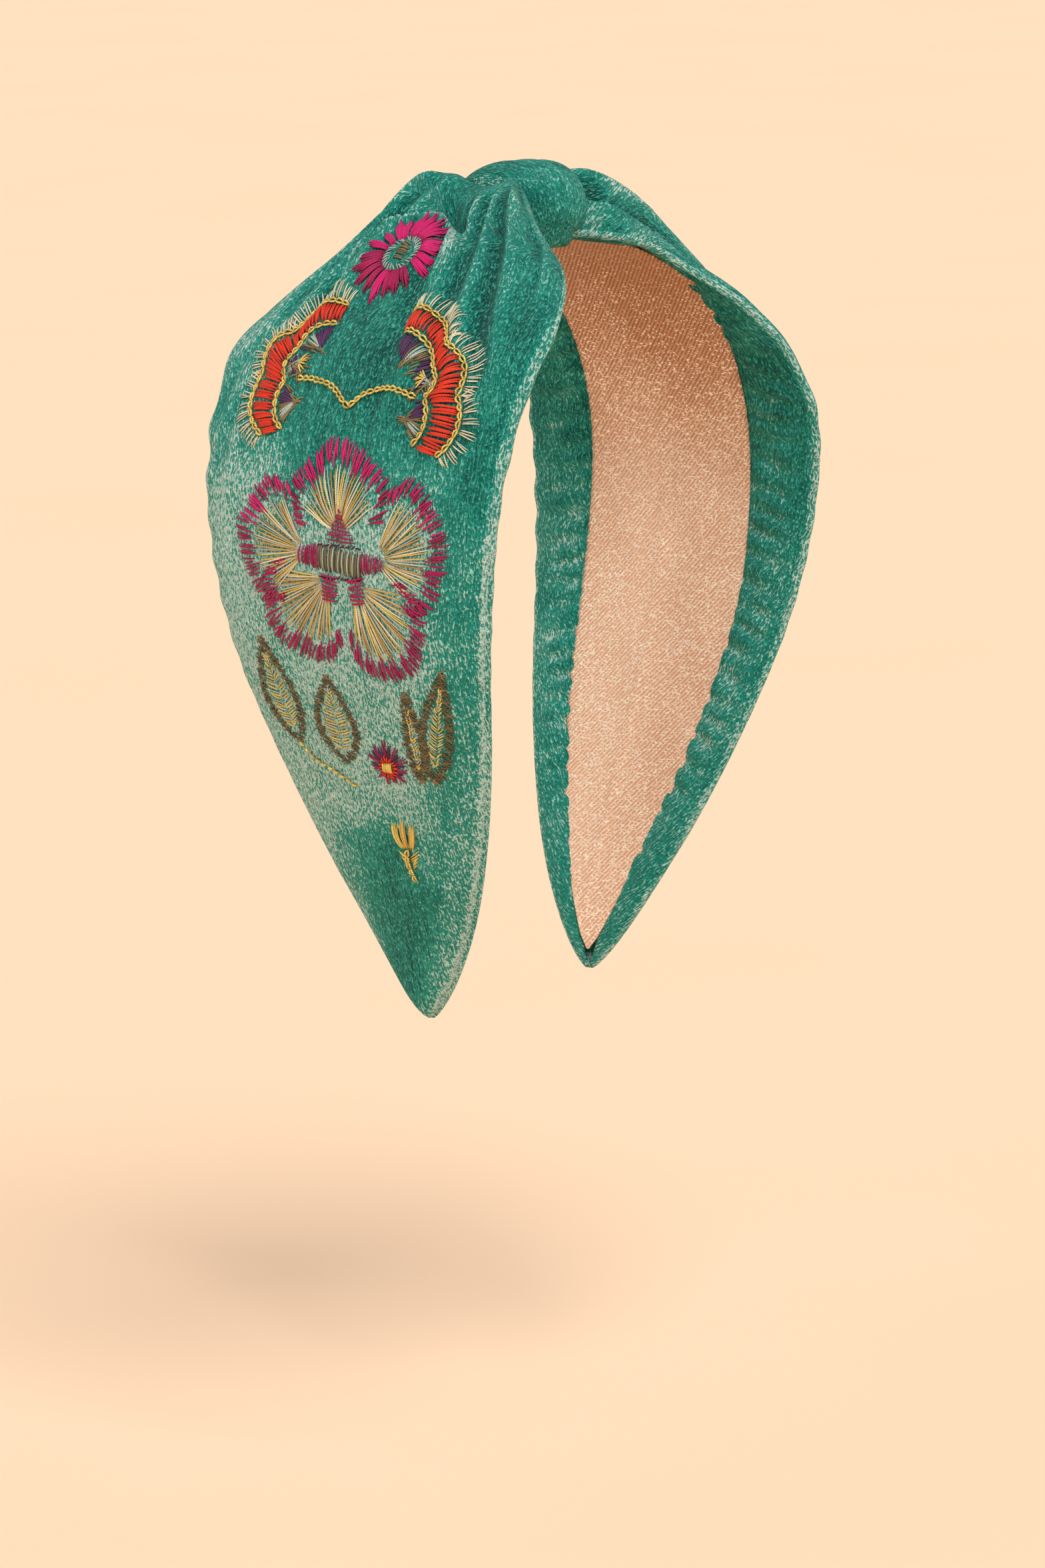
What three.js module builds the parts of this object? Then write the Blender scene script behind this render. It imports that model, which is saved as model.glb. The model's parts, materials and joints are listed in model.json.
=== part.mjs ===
// A knotted headband: a sprung strip in a padded velvet cover, lined with ribbon, with its two
// leaf-shaped panels gathered into a loop of velvet over the crown and embroidery on the left one.
// Millimetres, +Z up. The arms lie along X, the wearer's face is towards -Y, and the origin is on
// the flat underside of the loop, where the crown rests.
import * as THREE from "three";

// ---- driving dimensions ----

// The arch, measured along the lining's inner face, from the crown down one arm.
const crownRadius = 48;
const cheekRadius = 100;
const cheekTurn = 19.5; // degrees the arm turns inwards below its widest place
const straightRun = 38;
const tipRadius = 133;
const tipTurn = 12.5; // degrees the tip turns back outwards
const tipSweep = 3; // how far back the tips stand from the crown
const tipFlare = 4.5; // degrees the front edge stands out at the tip

// The leaf outline of a velvet panel.
const panelHalf = 35;
const leafLength = 130; // from the tip to the widest place
const leafPower = 0.76;
const crownHalf = 9; // the panel's half width where the loop holds it
const crownPower = 1.4; // how late the panel spreads away from the loop
const endInset = 1; // the cover's last row stands this far short of the leaf's point
const marginShare = 0.3; // the margin reaches in at least to this share of the half width
const marginRows = [0, 0.5, 0.93]; // where the margin's points stand, from its inner end out
const domeStart = 0.97; // where the dome begins, as a share of the half width
const domePower = 2.4; // higher makes the dome flatter on top

// The layers, from the lining's inner face outwards.
const clearance = 0.3;
const liningWall = 0.8;
const velvetWall = 0.8;
const coreWall = 1.4;
const foamRise = 2.3; // foam thickness at the middle of the arm
const edgeRise = 1.5; // from the middle of the rolled edge down to the turned-in margin
const neckRise = 3.4; // extra height of the gathers beside the loop
const neckLength = 42; // how far the gathers run down the panel
const tipThickness = 0.45; // the dome's height at the tip, as a share of its full height
const tipTaper = 30; // how far from the tip the dome starts to sink

// Pieces inside and on the cover.
const coreHalf = 15;
const coreShare = 0.72; // of the inside of the panel, where that is narrower
const foamShare = 0.8; // of the inside of the panel
const coreStart = 11; // from the tip to the end of the core
const foamStart = 26; // from the tip to the end of the foam
const foamNeck = 20; // from the crown to the foam's upper end
const liningHalf = 19;
const liningLength = 82; // from the tip to the lining's widest place
const liningStart = 3;
const liningPower = 0.88; // how full the lining's leaf outline is
const liningLap = 3; // how far the lining covers the turned-in margin
const motifWall = 0.5;
const outlineWidth = 1.4; // a line of gold stitches
const wingWidth = 7;

// The loop and the place where the band flexes.
const loopHalf = 7.5; // half of the loop's width along the band
const loopSide = 11.5; // from the band's middle to the loop's side
const throughHalf = 7.6; // half width of what passes through the loop
const throughRun = 8.5; // how far from the middle it stays that narrow
const throughSplay = 1.5; // how fast it widens again beyond that
const loopRise = 13.1; // the loop's top above the lining's inner face
const loopWall = 1.2;
const loopPuff = 0.75; // how much the loop closes in towards its two rims
const loopSquare = 0.8; // 1 is a round loop top, lower is squarer
const seatSquare = 0.5; // the same for the loop's underside, seen from above
const seatDepth = 0.3; // how quickly the underside gets down to its flat seat
const holeSquare = 0.25; // the same for the hole through the loop
const flexAt = 11; // from the crown's middle to the line where an arm flexes
const flexGap = 0.35; // half of the gap that the flexing needs

// How finely the round faces are divided.
const runStep = 6; // along the band
const leastStep = 1; // shorter steps than this are left out
const bandSteps = 3; // along a stitched band, for each of its points
const domeSteps = 6; // from the edge of the cover to its middle
const loopRings = 7; // along the loop
const loopSides = 28; // around the loop
const foamColumns = 7; // across a foam pad
const patchSteps = 6; // along and across a stitched patch

// ---- the arch ----

const rad = THREE.MathUtils.degToRad;
const crownRun = (crownRadius * Math.PI) / 2;
const cheekRun = cheekRadius * rad(cheekTurn);
const tipRun = tipRadius * rad(tipTurn);
const armRun = crownRun + cheekRun + straightRun + tipRun;
const centreDrop = crownRadius - loopWall - clearance;

/** Where the lining's inner face is at a run s from the crown, and its turn from level. */
function archAt(s) {
  if (s <= crownRun) {
    const turn = s / crownRadius;
    return { x: crownRadius * Math.sin(turn), z: crownRadius * Math.cos(turn), turn };
  }
  const cheek = Math.min(s - crownRun, cheekRun) / cheekRadius;
  let x = crownRadius - cheekRadius * (1 - Math.cos(cheek));
  let z = -cheekRadius * Math.sin(cheek);
  const straight = Math.min(Math.max(s - crownRun - cheekRun, 0), straightRun);
  x -= straight * Math.sin(cheek);
  z -= straight * Math.cos(cheek);
  const back = Math.max(s - crownRun - cheekRun - straightRun, 0) / tipRadius;
  x -= tipRadius * (Math.cos(cheek - back) - Math.cos(cheek));
  z -= tipRadius * (Math.sin(cheek) - Math.sin(cheek - back));
  return { x, z, turn: Math.PI / 2 + cheek - back };
}

/** The point at run s, v across the band (back is positive) and h out from the lining. */
function place(side, s, v, h) {
  const run = Math.abs(s);
  const { x, z, turn } = archAt(run);
  const share = run / armRun;
  const flare = rad(tipFlare) * share * share;
  const out = h * Math.cos(flare) - v * Math.sin(flare);
  const across = v * Math.cos(flare) + h * Math.sin(flare) + tipSweep * share * share;
  const hand = side * (s < 0 ? -1 : 1);
  return new THREE.Vector3(
    hand * (x + out * Math.sin(turn)),
    across,
    z + out * Math.cos(turn) - centreDrop,
  );
}

/** Half of the panel's width at run s. */
function panelHalfAt(s) {
  const fromTip = armRun - s;
  if (fromTip > leafLength) {
    const rise = Math.sin((Math.PI / 2) * (s / (armRun - leafLength)));
    return crownHalf + (panelHalf - crownHalf) * rise ** crownPower;
  }
  return panelHalf * Math.sin((Math.PI / 2) * Math.pow(fromTip / leafLength, leafPower));
}

/** A layer's half width, narrowed where it passes through the loop. */
function narrowed(s, half) {
  return Math.min(half, throughHalf + throughSplay * Math.max(s - throughRun, 0));
}

/** Half of the lining's width at run s. */
function liningHalfAt(s) {
  const fromTip = Math.max(armRun - s - liningStart, 0);
  const leaf = Math.sin((Math.PI / 2) * Math.min(fromTip / liningLength, 1) ** liningPower);
  return narrowed(s, Math.min(liningHalf * leaf, panelHalfAt(s) - liningLap - velvetWall));
}

// Heights of the layers above the lining's inner face.
const marginBottom = liningWall + clearance;
const coreBottom = marginBottom + velvetWall + clearance;
const foamBottom = coreBottom + coreWall + clearance;
const edgeHeight = marginBottom + edgeRise;
const coverRise = foamBottom + foamRise + clearance + velvetWall - edgeHeight;

/** How far the cover's outer face rises above its rolled edge at run s. */
function riseAt(s) {
  const taper = tipThickness + (1 - tipThickness) * Math.min(1, (armRun - s) / tipTaper);
  const neck = Math.max(1 - s / neckLength, 0);
  return coverRise * taper + neckRise * neck * neck;
}

/** Height of the cover's domed face at run s and v, with its wall taken off when inside. */
function domeAt(s, v, inset = 0) {
  const half = panelHalfAt(s) - inset;
  const share = Math.min(Math.abs(v) / half, 1);
  return edgeHeight + (riseAt(s) - inset) * Math.sqrt(1 - Math.pow(share, domePower));
}

// ---- meshing ----

/** A closed mesh between two faces that share a grid; at(row, column, face) gives its points. */
function slab(rows, columns, at, ring = false) {
  const points = [];
  const index = [];
  for (const face of [0, 1])
    for (let i = 0; i < rows; i++)
      for (let j = 0; j < columns; j++) points.push(at(i, j, face));
  const id = (i, j, face) => face * rows * columns + i * columns + (j % columns);
  const quad = (a, b, c, d) => index.push(a, b, c, a, c, d);
  const last = ring ? columns : columns - 1;
  for (let i = 0; i < rows - 1; i++)
    for (let j = 0; j < last; j++) {
      quad(id(i, j, 0), id(i, j + 1, 0), id(i + 1, j + 1, 0), id(i + 1, j, 0));
      quad(id(i, j, 1), id(i + 1, j, 1), id(i + 1, j + 1, 1), id(i, j + 1, 1));
    }
  for (let j = 0; j < last; j++) {
    quad(id(0, j, 1), id(0, j + 1, 1), id(0, j + 1, 0), id(0, j, 0));
    quad(id(rows - 1, j, 0), id(rows - 1, j + 1, 0), id(rows - 1, j + 1, 1), id(rows - 1, j, 1));
  }
  if (!ring)
    for (let i = 0; i < rows - 1; i++) {
      quad(id(i, 0, 0), id(i + 1, 0, 0), id(i + 1, 0, 1), id(i, 0, 1));
      quad(id(i, last, 1), id(i + 1, last, 1), id(i + 1, last, 0), id(i, last, 0));
    }
  const geometry = new THREE.BufferGeometry().setFromPoints(points);
  geometry.setIndex(signedVolume(points, index) < 0 ? index.reverse() : index);
  geometry.computeVertexNormals();
  return geometry;
}

/** Six times the volume that the triangles enclose: negative when they face inwards. */
function signedVolume(points, index) {
  let sum = 0;
  for (let i = 0; i < index.length; i += 3) {
    const [a, b, c] = [points[index[i]], points[index[i + 1]], points[index[i + 2]]];
    sum += a.dot(b.clone().cross(c));
  }
  return sum;
}

/** count values from a to b. */
const spread = (a, b, count) =>
  Array.from({ length: count }, (_, i) => a + ((b - a) * i) / (count - 1));

/** Runs from one end to the other, on steps that every layer shares so that the gaps stay even. */
function runsBetween(from, to) {
  const first = Math.floor(from / runStep) + 1;
  const count = Math.ceil(to / runStep) - first;
  const shared = Array.from({ length: count }, (_, i) => (first + i) * runStep);
  const apart = (s) => s - from > leastStep && to - s > leastStep;
  return [from, ...shared.filter(apart), to];
}

const finishes = {
  velvet: { color: 0x12806a, roughness: 0.85, metalness: 0 },
  lining: { color: 0xc58f66, roughness: 0.45, metalness: 0.3 },
  core: { color: 0xe9e4d8, roughness: 0.5, metalness: 0 },
  foam: { color: 0xf3efe2, roughness: 0.95, metalness: 0 },
  crimson: { color: 0xb80f50, roughness: 0.5, metalness: 0 },
  scarlet: { color: 0xe23a15, roughness: 0.5, metalness: 0 },
  gold: { color: 0xd2b04c, roughness: 0.35, metalness: 0.6 },
};

const headband = new THREE.Group();

/** Adds a named mesh in one of the finishes. */
function add(name, geometry, finish) {
  const mesh = new THREE.Mesh(geometry, new THREE.MeshStandardMaterial(finishes[finish]));
  mesh.name = name;
  headband.add(mesh);
}

// ---- the sprung strip, the foam and the lining ----

/** A flat strip at height low to low + wall over the given runs, halfAt wide each way. */
function strip(side, runs, halfAt, low, wall) {
  return slab(runs.length, 3, (i, j, face) =>
    place(side, runs[i], (j - 1) * halfAt(runs[i]), low + (face ? 0 : wall)),
  );
}

/** Half of the core's width at run s, inside the cover. */
function coreHalfAt(s) {
  return narrowed(s, Math.min(coreHalf, coreShare * (panelHalfAt(s) - velvetWall)));
}

/** The foam pad of one arm: flat below, domed under the cover above. */
function foamPad(side) {
  const runs = runsBetween(foamNeck, armRun - foamStart);
  const shares = spread(-foamShare, foamShare, foamColumns);
  return slab(runs.length, foamColumns, (i, j, face) => {
    const s = runs[i];
    const v = shares[j] * (panelHalfAt(s) - velvetWall);
    const top = Math.min(domeAt(s, v, velvetWall), domeAt(s, 0, velvetWall)) - clearance;
    return place(side, s, v, face ? foamBottom : top);
  });
}

// ---- the velvet cover ----

/** Points across the cover: the turned-in margin, the rolled edge and the domed face. */
function coverPath(s, inset) {
  const half = panelHalfAt(s) - inset;
  const marginEnd = Math.max(liningHalfAt(s) - liningLap, marginShare * half);
  const low = edgeHeight - edgeRise + inset;
  const margin = marginRows.map((t) => [marginEnd + (half - marginEnd) * t, low]);
  const dome = spread(domeStart, 0, domeSteps).map((t) => [t * half, domeAt(s, t * half, inset)]);
  const back = [...margin, [half, edgeHeight], ...dome];
  const front = back.slice(0, -1).reverse();
  return [...back, ...front.map(([v, h]) => [-v, h])];
}

/** One arm's velvet cover, open along the inside where the lining closes it. */
function cover(side) {
  const runs = runsBetween(flexAt + flexGap, armRun - endInset);
  const outer = runs.map((s) => coverPath(s, 0));
  const inner = runs.map((s) => coverPath(s, velvetWall));
  return slab(runs.length, outer[0].length, (i, j, face) => {
    const [v, h] = (face ? inner : outer)[i][j];
    return place(side, runs[i], v, h);
  });
}

// ---- the loop over the crown ----

/** The velvet loop: a flat underside, round sides and a domed top, puffed along the band. */
function crownLoop() {
  const holeHalf = throughHalf + 3 * clearance;
  const holeTop = coreBottom + coreWall + 2 * clearance;
  const runs = spread(-1, 1, loopRings);
  const corner = (share, power) => Math.sign(share) * Math.abs(share) ** power;
  return slab(
    runs.length,
    loopSides,
    (i, j, face) => {
      const angle = (2 * Math.PI * (j + 0.5)) / loopSides;
      const [c, n] = [Math.cos(angle), Math.sin(angle)];
      const s = runs[i] * loopHalf;
      if (face) {
        const low = -clearance;
        const middle = (low + holeTop) / 2;
        const rise = (holeTop - middle) * corner(n, holeSquare);
        return place(1, s, holeHalf * corner(c, holeSquare), middle + rise);
      }
      const puff = Math.sqrt(1 - loopPuff * runs[i] ** 2);
      const side = holeHalf + (loopSide - holeHalf) * puff;
      if (n < 0) {
        const v = side * corner(c, seatSquare);
        return seated(s, v, -corner(-n, seatDepth));
      }
      const top = holeTop + (loopRise - holeTop) * puff;
      return place(1, s, side * corner(c, loopSquare), top * corner(n, loopSquare));
    },
    true,
  );
}

/** A point on the loop's underside, which is level: down is -1 at the bottom and 0 at the side. */
function seated(s, v, down) {
  const point = place(1, s, v, 0);
  point.z *= 1 + down;
  return point;
}

// ---- embroidery on the left panel ----

/** A point over the left cover at run s and v, lift above its velvet. */
function onCover(s, v, lift) {
  return place(-1, s, v, domeAt(s, v) + lift);
}

/** A stitched patch: an ellipse centred at s, v, with half lengths along and across the band. */
function patch(s, v, along, across, turn = 0) {
  const steps = spread(-1, 1, patchSteps);
  const [c, n] = [Math.cos(rad(turn)), Math.sin(rad(turn))];
  return slab(steps.length, steps.length, (i, j, face) => {
    const [p, q] = [steps[i], steps[j]];
    const x = p * Math.sqrt(1 - (q * q) / 2) * along;
    const y = q * Math.sqrt(1 - (p * p) / 2) * across;
    return onCover(s + x * c - y * n, v + x * n + y * c, clearance + (face ? 0 : motifWall));
  });
}

/** A stitched band of the given width along a smooth line through [s, v] points. */
function stitchedBand(points, width) {
  const line = new THREE.CatmullRomCurve3(points.map(([s, v]) => new THREE.Vector3(s, v, 0)));
  const count = bandSteps * points.length;
  return slab(count, 3, (i, j, face) => {
    const t = i / (count - 1);
    const p = line.getPoint(t);
    const along = line.getTangent(t);
    const w = (j - 1) * (width / 2);
    return onCover(p.x - along.y * w, p.y + along.x * w, clearance + (face ? 0 : motifWall));
  });
}

// ---- assembly ----

for (const [hand, side] of [
  ["left", -1],
  ["right", 1],
]) {
  const flexEnd = flexAt + flexGap;
  const coreRuns = runsBetween(flexEnd, armRun - coreStart);
  add(`core_${hand}_arm`, strip(side, coreRuns, coreHalfAt, coreBottom, coreWall), "core");
  add(`foam_${hand}_arm`, foamPad(side), "foam");
  add(`velvet_${hand}_panel`, cover(side), "velvet");
  const liningRuns = runsBetween(flexEnd, armRun - liningStart - endInset);
  add(`lining_${hand}_arm`, strip(side, liningRuns, liningHalfAt, 0, liningWall), "lining");
}

const crownEnd = flexAt - flexGap;
const crownRuns = [-crownEnd, ...spread(-throughRun, throughRun, 4), crownEnd];
const crownCoreHalf = (s) => coreHalfAt(Math.abs(s));
const crownLiningHalf = (s) => liningHalfAt(Math.abs(s));
add("core_crown", strip(1, crownRuns, crownCoreHalf, coreBottom, coreWall), "core");
add("lining_crown", strip(1, crownRuns, crownLiningHalf, 0, liningWall), "lining");
add("velvet_loop", crownLoop(), "velvet");

add("daisy", patch(26, 5.5, 8.5, 9.5), "crimson");
add("wing_back", stitchedBand([[38, 11], [43, 20], [51, 23], [61, 19]], wingWidth), "scarlet");
add("wing_front", stitchedBand([[37, -8], [43, -17], [50, -22], [61, -22]], wingWidth), "scarlet");
add("scallop_back", stitchedBand([[54, 12], [52, 7], [55, 0]], outlineWidth), "gold");
add("scallop_front", stitchedBand([[55, -2], [52.5, -7], [54.5, -13]], outlineWidth), "gold");
add("blossom", patch(80, -1.5, 19, 23), "crimson");
add("leaf_back", patch(104, 19, 7, 3, -20), "scarlet");
add("leaf_back_lower", patch(108, 6, 7, 3), "scarlet");
add("leaf_front_lower", patch(112, -14, 8, 3), "scarlet");
add("leaf_front", patch(106, -21, 7, 3, 15), "scarlet");
add("stem", stitchedBand([[113, 17], [119, 11], [123.5, 2.5], [126, -3]], outlineWidth), "gold");
add("starflower", patch(118.5, -6.5, 3.5, 3.5), "crimson");
add("bud", patch(136, -7, 6, 3.5), "gold");

export default headband;
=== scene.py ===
"""A knotted headband: two leaf-shaped panels of padded crushed velvet, gathered under a velvet loop
at the crown, lined with metallic ribbon, with embroidery on the left panel.

Sizes are millimetres along the band (s, from the crown down an arm), across it (v, positive to the
back) and out from the lining (h). Meshes are written in metres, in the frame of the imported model.
"""

import json
import logging
import math
from dataclasses import dataclass, field
from enum import Enum
from typing import Callable, Sequence

import bpy
import numpy as np
from mathutils import Matrix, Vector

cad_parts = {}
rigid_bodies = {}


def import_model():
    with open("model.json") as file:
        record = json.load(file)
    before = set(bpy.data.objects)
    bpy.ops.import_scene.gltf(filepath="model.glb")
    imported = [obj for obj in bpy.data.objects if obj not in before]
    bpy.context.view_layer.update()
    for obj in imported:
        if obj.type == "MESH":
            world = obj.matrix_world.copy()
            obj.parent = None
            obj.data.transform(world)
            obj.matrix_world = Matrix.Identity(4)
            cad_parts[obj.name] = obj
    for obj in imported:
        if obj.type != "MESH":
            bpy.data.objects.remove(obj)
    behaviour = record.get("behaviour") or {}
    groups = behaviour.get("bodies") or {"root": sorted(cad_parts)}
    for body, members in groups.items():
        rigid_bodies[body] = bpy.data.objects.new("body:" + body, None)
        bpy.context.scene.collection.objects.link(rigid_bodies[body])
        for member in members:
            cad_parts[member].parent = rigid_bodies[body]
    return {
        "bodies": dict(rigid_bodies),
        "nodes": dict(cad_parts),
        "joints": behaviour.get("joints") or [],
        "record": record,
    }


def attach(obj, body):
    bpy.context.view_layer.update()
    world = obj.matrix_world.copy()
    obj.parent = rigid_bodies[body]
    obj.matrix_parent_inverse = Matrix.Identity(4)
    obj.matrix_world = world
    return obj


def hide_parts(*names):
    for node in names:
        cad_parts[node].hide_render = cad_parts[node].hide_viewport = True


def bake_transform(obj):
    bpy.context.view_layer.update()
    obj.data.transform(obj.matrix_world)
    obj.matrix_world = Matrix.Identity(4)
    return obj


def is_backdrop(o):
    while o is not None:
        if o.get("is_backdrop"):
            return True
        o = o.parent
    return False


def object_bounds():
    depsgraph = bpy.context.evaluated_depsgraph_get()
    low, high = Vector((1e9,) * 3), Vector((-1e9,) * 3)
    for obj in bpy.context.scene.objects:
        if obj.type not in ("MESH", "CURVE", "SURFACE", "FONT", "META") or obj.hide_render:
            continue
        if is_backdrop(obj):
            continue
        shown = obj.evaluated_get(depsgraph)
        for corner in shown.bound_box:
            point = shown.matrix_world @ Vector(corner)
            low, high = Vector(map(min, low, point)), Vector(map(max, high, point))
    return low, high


Array = np.ndarray
Point = tuple[float, float]
Place = Point | Array
Colour = tuple[float, float, float]

MM = 0.001
JOINED = 1e-7
UV_PER_MM = 0.01
UV_PER_METRE = 10.0
log = logging.getLogger("headband")


class Side(Enum):
    """Which arm of the band, as the sign of X."""

    LEFT = -1
    RIGHT = 1

    @property
    def word(self) -> str:
        """The side's name in a piece's name."""
        return self.name.lower()


class Floss(Enum):
    """The embroidery threads: the colour of each, and how metallic it is."""

    # Magenta: a brighter crimson, used where petals are painted as lit.
    MAGENTA = ((0.72, 0.0, 0.17), 0.0)
    CRIMSON = ((0.42, 0.0, 0.09), 0.0)
    WINE = ((0.10, 0.004, 0.04), 0.0)
    SCARLET = ((0.80, 0.035, 0.008), 0.0)
    GOLD = ((0.92, 0.66, 0.17), 0.35)
    OCHRE = ((0.66, 0.40, 0.10), 0.2)
    CREAM = ((0.86, 0.78, 0.55), 0.0)
    SILVER = ((0.50, 0.62, 0.55), 0.2)
    KHAKI = ((0.26, 0.20, 0.09), 0.1)
    OLIVE = ((0.13, 0.10, 0.035), 0.0)
    PURPLE = ((0.09, 0.025, 0.11), 0.0)


# ---- small numeric helpers ----


def smooth(low: float, high: float, x: Array) -> Array:
    """A smooth step of x from 0 at low to 1 at high."""
    t = np.clip((np.asarray(x, float) - low) / (high - low), 0, 1)
    return t * t * (3 - 2 * t)


def bell(distance: Array, width: Array | float) -> Array:
    """A round bump: 1 at no distance, falling off over width."""
    return np.exp(-((distance / width) ** 2))


def through(points: Sequence[Sequence[float]], count: int) -> Array:
    """A smooth open line of count points through the given ones, in any number of dimensions."""
    p = np.array(points, float)
    ends = np.vstack([2 * p[0] - p[1], p, 2 * p[-1] - p[-2]])
    t = np.linspace(0, len(p) - 1 - 1e-9, count)
    i = t.astype(int)
    f = (t - i)[:, None]
    a, b, c, d = ends[i], ends[i + 1], ends[i + 2], ends[i + 3]
    bend = (-a + c) * f + (2 * a - 5 * b + 4 * c - d) * f**2 + (-a + 3 * b - 3 * c + d) * f**3
    return b + 0.5 * bend


def unit(vectors: Array) -> Array:
    """The vectors, held along the last axis, at a length of 1."""
    return vectors / np.maximum(np.linalg.norm(vectors, axis=-1, keepdims=True), 1e-12)


def square_to(vectors: Array) -> Array:
    """Unit vectors a quarter turn from flat ones."""
    return unit(np.stack([-vectors[..., 1], vectors[..., 0]], axis=-1))


def ellipse(centre: Point, angle: float, reach: Point) -> Array:
    """The place on an ellipse about a centre, at an angle from the line of the arm."""
    return np.array(centre) + (math.cos(angle) * reach[0], math.sin(angle) * reach[1])


def spaced(line: Array, count: int) -> Array:
    """Places evenly spaced along a line, count of them."""
    run = np.append(0, np.cumsum(np.hypot(*np.diff(line, axis=0).T)))
    at = np.linspace(0, run[-1], count)
    return np.stack([np.interp(at, run, line[:, k]) for k in range(2)], axis=-1)


def stepped(line: Array, step: float) -> Array:
    """Places along a line, about a step apart."""
    run = np.hypot(*np.diff(line, axis=0).T).sum()
    return spaced(line, max(int(run / step), 2) + 1)


@dataclass(frozen=True)
class Edge:
    """A panel's edge near the crown: given (s, v) points, and the leaf outline beyond them."""

    points: tuple[Point, ...]
    join: float = 8.0

    def at(self, s: Array, leaf: Array) -> Array:
        """The edge's v at each run.

        Args:
            s: Runs along the band.
            leaf: The leaf outline's half width there.

        Returns:
            The edge's place across the band, with its sign.
        """
        line = through(self.points, 90)
        sign = math.copysign(1, self.points[-1][1])
        near = np.interp(s, line[:, 0], line[:, 1])
        last = self.points[-1][0]
        share = smooth(last - self.join, last, s)
        return near * (1 - share) + sign * leaf * share


@dataclass(frozen=True)
class Fold:
    """A ridge (or a valley, where height is negative) along a line of (s, v) points."""

    path: tuple[Point, ...]
    height: float
    width: float
    end_width: float = 0.0
    crease: bool = False
    fade: float = 8.0
    start_fade: float = 3.0

    def at(self, s: Array, v: Array) -> Array:
        """How far the fold lifts the cloth at each s, v."""
        line = through(self.path, 40)
        first, last = line[0, 0], line[-1, 0]
        share = np.clip((s - first) / (last - first), 0, 1)
        width = self.width + ((self.end_width or self.width) - self.width) * share
        away = np.abs(v - np.interp(s, line[:, 0], line[:, 1])) / width
        profile = np.exp(-away * 1.6) if self.crease else np.exp(-(away**2))
        begun = smooth(first - self.start_fade, first + self.start_fade, s)
        ended = smooth(last - self.fade, last + self.fade, s)
        return self.height * profile * begun * (1 - ended)


@dataclass(frozen=True)
class Gather:
    """A round bunch of cloth (or a hollow, where height is negative) that may lean and spread."""

    height: float
    middle: Point
    length: float
    width: float
    lean: float = 0.0
    spread: float = 0.0

    def at(self, s: Array, v: Array) -> Array:
        """How far the gather lifts the cloth at each s, v."""
        beyond = s - self.middle[0]
        width = self.width + self.spread * np.maximum(beyond, 0)
        beside = v - self.middle[1] - self.lean * beyond
        return self.height * bell(beyond, self.length) * bell(beside, width)


@dataclass(frozen=True)
class Pouch:
    """A pouch of cloth whose raised lip, on the crown's side, laps over the gathers of the neck."""

    middle: Point = (29.5, 3.6)
    half: Point = (12.6, 11.4)
    rise: float = 1.9
    lip_rise: float = 0.9
    sink: float = 1.6
    # How strong the painted highlight on the lip is.
    silver: float = 0.9

    def reach(self, s: Array, v: Array) -> Array:
        """How far each s, v is from the pouch's middle, about 1 at its lip."""
        return np.hypot((s - self.middle[0]) / self.half[0], (v - self.middle[1]) / self.half[1])

    def at(self, s: Array, v: Array) -> Array:
        """How far the pouch lifts the cloth, and sinks it beyond the lip, at each s, v."""
        reach = self.reach(s, v)
        upper = 1 - smooth(26, 40, s)
        pouch = self.rise * (1 - smooth(0.93, 1.01, reach)) * upper
        lip = self.lip_rise * bell(reach - 0.92, 0.05) * upper
        sunk = self.sink * bell(reach - 1.1, 0.08) * (1 - smooth(24, 34, s))
        return (pouch + lip - sunk) * smooth(-11, -5, v)

    def nap_and_painted_light(self, s: Array, v: Array) -> Array:
        """A painted silver highlight along the lip, at each s, v."""
        lip = self.silver * bell(self.reach(s, v) - 0.95, 0.045)
        return lip * (1 - smooth(24, 36, s)) * smooth(-10, -5, v)


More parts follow.
